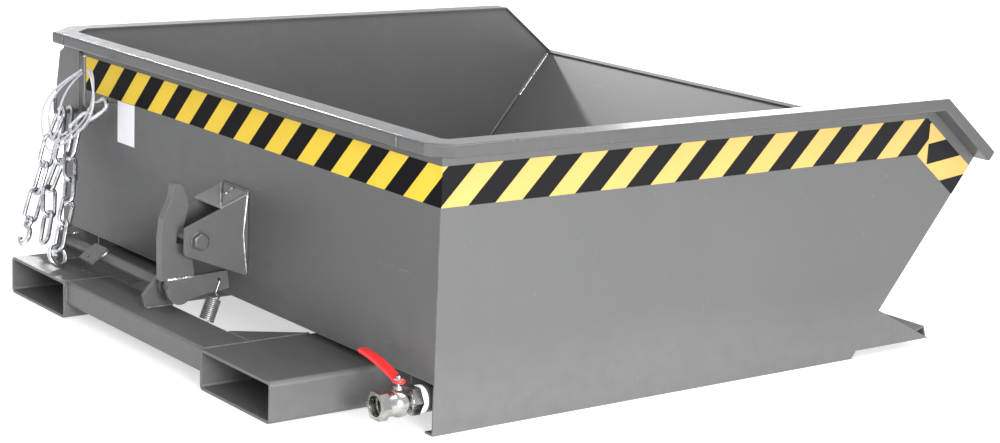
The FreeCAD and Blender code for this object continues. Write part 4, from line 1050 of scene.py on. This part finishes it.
class MakeCable(bpy.types.Operator):
    """Release cable wound in long loops over its cleat, with a crimped ferrule on each end"""

    bl_idname = "hopper.cable"
    bl_label = "Release cable"

    def execute(self, context):
        diameter = context.scene.hopper_sizes.cable_diameter
        line = at(hank_line())
        curve = bpy.data.curves.new("release_cable", "CURVE")
        curve.dimensions = "3D"
        spline = curve.splines.new("NURBS")
        spline.points.add(len(line) - 1)
        spline.points.foreach_set("co", np.column_stack([line, np.ones(len(line))]).ravel())
        spline.order_u = 3
        spline.use_endpoint_u = True
        spline.resolution_u = 6
        curve.bevel_depth = diameter / 2
        curve.bevel_resolution = 4
        curve.use_fill_caps = True
        curve.materials.append(bpy.data.materials["Cable coat"])
        cable = bpy.data.objects.new("release_cable", curve)
        bpy.context.scene.collection.objects.link(cable)
        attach(cable, "container")
        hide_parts("cable_hank")
        sleeves = merged([ferrule(line[0], line[1]), ferrule(line[-1], line[-2])])
        ferrules = add_piece("cable_ferrules", sleeves, "Zinc", "container")
        return {"FINISHED"}


# Drain valve

LEVER_TIP_X = 574.0
LEVER_Z = 100.4
LEVER_RISE = 28.0
LEVER_RISE_RUN = 126.0
LEVER_RISE_POWER = 1.8
LEVER_HALF = 11.0
LEVER_SWELL = 0.8
LEVER_PLATE_HALF = 3.4
HUB_R = 13.0
SLEEVE_START_X = 690.0
SLEEVE_LEAD = 12.0
TIP_ROUND_X, TIP_ROUND_R = 586.5, 12.2
TIP_THIN_X, TIP_THIN_R = 583.0, 8.8
SECTION_POWER = 0.6
HUB_ROWS, ARM_ROWS, LEVER_AROUND = 10, 72, 28
STEM_NUT_ACROSS = 17.0
STEM_NUT_LOW, STEM_NUT_CHAMFER, STEM_NUT_TOP = 100.0, 104.9, 106.3
STEM_NUT_TOP_SHARE = 0.86
STEM_END = [(106.4, 4.8), (110.4, 4.6), (111, 3.8)]


def round_end(distance, radius, least):
    """A circle's half width as a share of its radius, at a distance from its middle."""
    return np.sqrt(np.clip(1 - (distance / radius) ** 2, least, 1))


def lever_rings(thickness):
    """The lever as rounded sections along its line: x falls from hub to tip, z rises ever less steeply."""
    neck = VALVE_X - 2
    hub_x = np.linspace(VALVE_X + HUB_R, VALVE_X + 2, HUB_ROWS)
    x = np.concatenate([hub_x, np.linspace(neck, LEVER_TIP_X + 0.5, ARM_ROWS)])
    climb = np.clip((VALVE_X - x) / LEVER_RISE_RUN, 0, 1)
    z = LEVER_Z + LEVER_RISE * (1 - (1 - climb) ** LEVER_RISE_POWER)
    hub = round_end(x - VALVE_X, HUB_R + 0.2, 0.002) * HUB_R
    arm = LEVER_HALF + LEVER_SWELL * np.sin((x - LEVER_TIP_X) / (neck - LEVER_TIP_X) * math.pi)
    half = np.where(x > VALVE_X - 4, hub, arm)
    half = np.where(x < TIP_ROUND_X, half * round_end(TIP_ROUND_X - x, TIP_ROUND_R, 0.002), half)
    sleeve = np.clip((SLEEVE_START_X - x) / SLEEVE_LEAD, 0, 1)
    thick = LEVER_PLATE_HALF + sleeve * (thickness / 2 - LEVER_PLATE_HALF)
    thick = np.where(x < TIP_THIN_X, thick * round_end(TIP_THIN_X - x, TIP_THIN_R, 0.05), thick)
    angle = np.linspace(0, TURN, LEVER_AROUND, endpoint=False)[None, :]
    wide = np.sign(np.cos(angle)) * abs(np.cos(angle)) ** SECTION_POWER
    high = np.sign(np.sin(angle)) * abs(np.sin(angle)) ** SECTION_POWER
    y = VALVE_Y + half[:, None] * wide
    return np.stack([np.broadcast_to(x[:, None], y.shape), y, z[:, None] + thick[:, None] * high], -1)


def lever_nut_rings():
    """The nut on the stem as a hexagon whose top corners are chamfered, round the z axis."""
    top = chamfered(STEM_NUT_CHAMFER, STEM_NUT_TOP, STEM_NUT_ACROSS, STEM_NUT_TOP_SHARE, CHAMFER_STEPS)
    rings = hexed([(STEM_NUT_LOW, NO_LIMIT)] + top + STEM_END, STEM_NUT_ACROSS, turns=48)
    return rings[..., [1, 2, 0]] + (VALVE_X, VALVE_Y, 0)


class MakeLever(bpy.types.Operator):
    """Red sleeved lever of the drain valve and the nut that holds it"""

    bl_idname = "hopper.lever"
    bl_label = "Valve lever"

    def execute(self, context):
        lever = skin(at(lever_rings(context.scene.hopper_sizes.grip_thickness / MM)))
        nut = skin(at(lever_nut_rings()))
        add_piece("sleeved_lever", lever, "Lever red", "valve_lever", ["valve_lever"], sharp=50)
        add_piece("stem_nut", nut, "Zinc", "valve_lever", ["lever_nut"], sharp=30)
        return {"FINISHED"}


# Stage

CAMERA_PLACE = (3867.4, -2239.6, 1250.1)
CAMERA_TILT, CAMERA_ROLL, CAMERA_TURN = 77.462, -2.401, 53.428
CAMERA_LENS = 80.67
CAMERA_SHIFT_X, CAMERA_SHIFT_Y = 0.0036, 0.0025
FLOOR_REACH = 30.0
FLOOR_DROP = 0.0005

# Each light's name, place and target in metres, side in metres and power in watts
LIGHTS = (
    ("overhead", (1.4, 0.6, 3.4), (-0.3, 0.3, 0.2), 2.4, 105.0),
    ("near_back", (4.6, -1.6, 1.0), (0.5, -0.3, 0.3), 1.2, 235.0),
    ("far_high", (-4.3, 0.93, 2.91), (0.0, 0.69, 0.35), 0.25, 170.0),
    ("behind", (-3.4, 4.8, 1.5), (0.6, 0.3, 0.5), 2.2, 60.0),
    ("back_fill", (2.1, -2.0, 0.9), (0.5, -0.6, 0.3), 0.9, 10.0),
)


class MakeStage(bpy.types.Operator):
    """Pale floor, soft studio lights and the camera"""

    bl_idname = "hopper.stage"
    bl_label = "Stage"

    def execute(self, context):
        scene = context.scene
        self.add_floor(scene)
        for light in LIGHTS:
            self.add_light(scene, *light)
        self.add_world(scene)
        self.add_camera(scene)
        return {"FINISHED"}

    def add_floor(self, scene):
        mesh = bpy.data.meshes.new("floor")
        square = ((-1, -1), (1, -1), (1, 1), (-1, 1))
        corners = [(x * FLOOR_REACH, y * FLOOR_REACH, -FLOOR_DROP) for x, y in square]
        mesh.from_pydata(corners, [], [(0, 1, 2, 3)])
        material = bpy.data.materials.new("Floor")
        material.use_nodes = True
        shader = material.node_tree.nodes["Principled BSDF"]
        shader.inputs["Base Color"].default_value = (0.62, 0.62, 0.62, 1)
        shader.inputs["Roughness"].default_value = 0.7
        shader.inputs["Emission Color"].default_value = (1, 1, 1, 1)
        shader.inputs["Emission Strength"].default_value = 0.55
        mesh.materials.append(material)
        floor = bpy.data.objects.new("floor", mesh)
        scene.collection.objects.link(floor)

    def add_light(self, scene, name, place, target, size, power):
        """A square area light that faces its target, with its own Y axis upward."""
        light = bpy.data.lights.new(name, "AREA")
        light.size = size
        light.energy = power
        lamp = bpy.data.objects.new(name, light)
        scene.collection.objects.link(lamp)
        lamp.location = place
        lamp.rotation_mode = "QUATERNION"
        lamp.rotation_quaternion = (Vector(target) - Vector(place)).to_track_quat("-Z", "Y")

    def add_world(self, scene):
        world = bpy.data.worlds.new("studio")
        world.use_nodes = True
        background = world.node_tree.nodes["Background"]
        background.inputs["Color"].default_value = (0.95, 0.97, 1.0, 1)
        background.inputs["Strength"].default_value = 1.0
        scene.world = world
        scene.view_settings.view_transform = "Standard"

    def add_camera(self, scene):
        data = bpy.data.cameras.new("camera")
        data.lens = CAMERA_LENS
        data.sensor_width = 36.0
        data.sensor_fit = "HORIZONTAL"
        data.shift_x = CAMERA_SHIFT_X
        data.shift_y = CAMERA_SHIFT_Y
        data.clip_end = 200
        camera = bpy.data.objects.new("camera", data)
        scene.collection.objects.link(camera)
        camera.location = at(CAMERA_PLACE)
        camera.rotation_euler = np.radians((CAMERA_TILT, CAMERA_ROLL, CAMERA_TURN))
        scene.camera = camera


class HopperPanel(bpy.types.Panel):
    """Sizes, colours and operators of the hopper"""

    bl_idname = "VIEW3D_PT_hopper"
    bl_label = "Self Dumping Hopper"
    bl_space_type = "VIEW_3D"
    bl_region_type = "UI"
    bl_category = "Hopper"

    def draw(self, context):
        for settings in (context.scene.hopper_sizes, context.scene.hopper_colours):
            box = self.layout.box()
            for name in settings.__annotations__:
                box.prop(settings, name)
        for operator in OPERATORS:
            self.layout.operator(operator.bl_idname)


OPERATORS = (MakeFinishes, MakeStage, MakeCable, DressPlates, MakeRims, MakeWelds, MakeKeeperBolt,
             MakeSpring, MakeLever)
CLASSES = (HopperSizes, HopperColours) + OPERATORS + (HopperPanel,)


def register():
    for made in CLASSES:
        bpy.utils.register_class(made)
    bpy.types.Scene.hopper_sizes = PointerProperty(type=HopperSizes)
    bpy.types.Scene.hopper_colours = PointerProperty(type=HopperColours)


def unregister():
    del bpy.types.Scene.hopper_colours
    del bpy.types.Scene.hopper_sizes
    for made in reversed(CLASSES):
        bpy.utils.unregister_class(made)


def main():
    """Build every piece."""
    register()
    for operator in OPERATORS:
        group, name = operator.bl_idname.split(".")
        getattr(getattr(bpy.ops, group), name)()


if __name__ == "__main__":
    main()
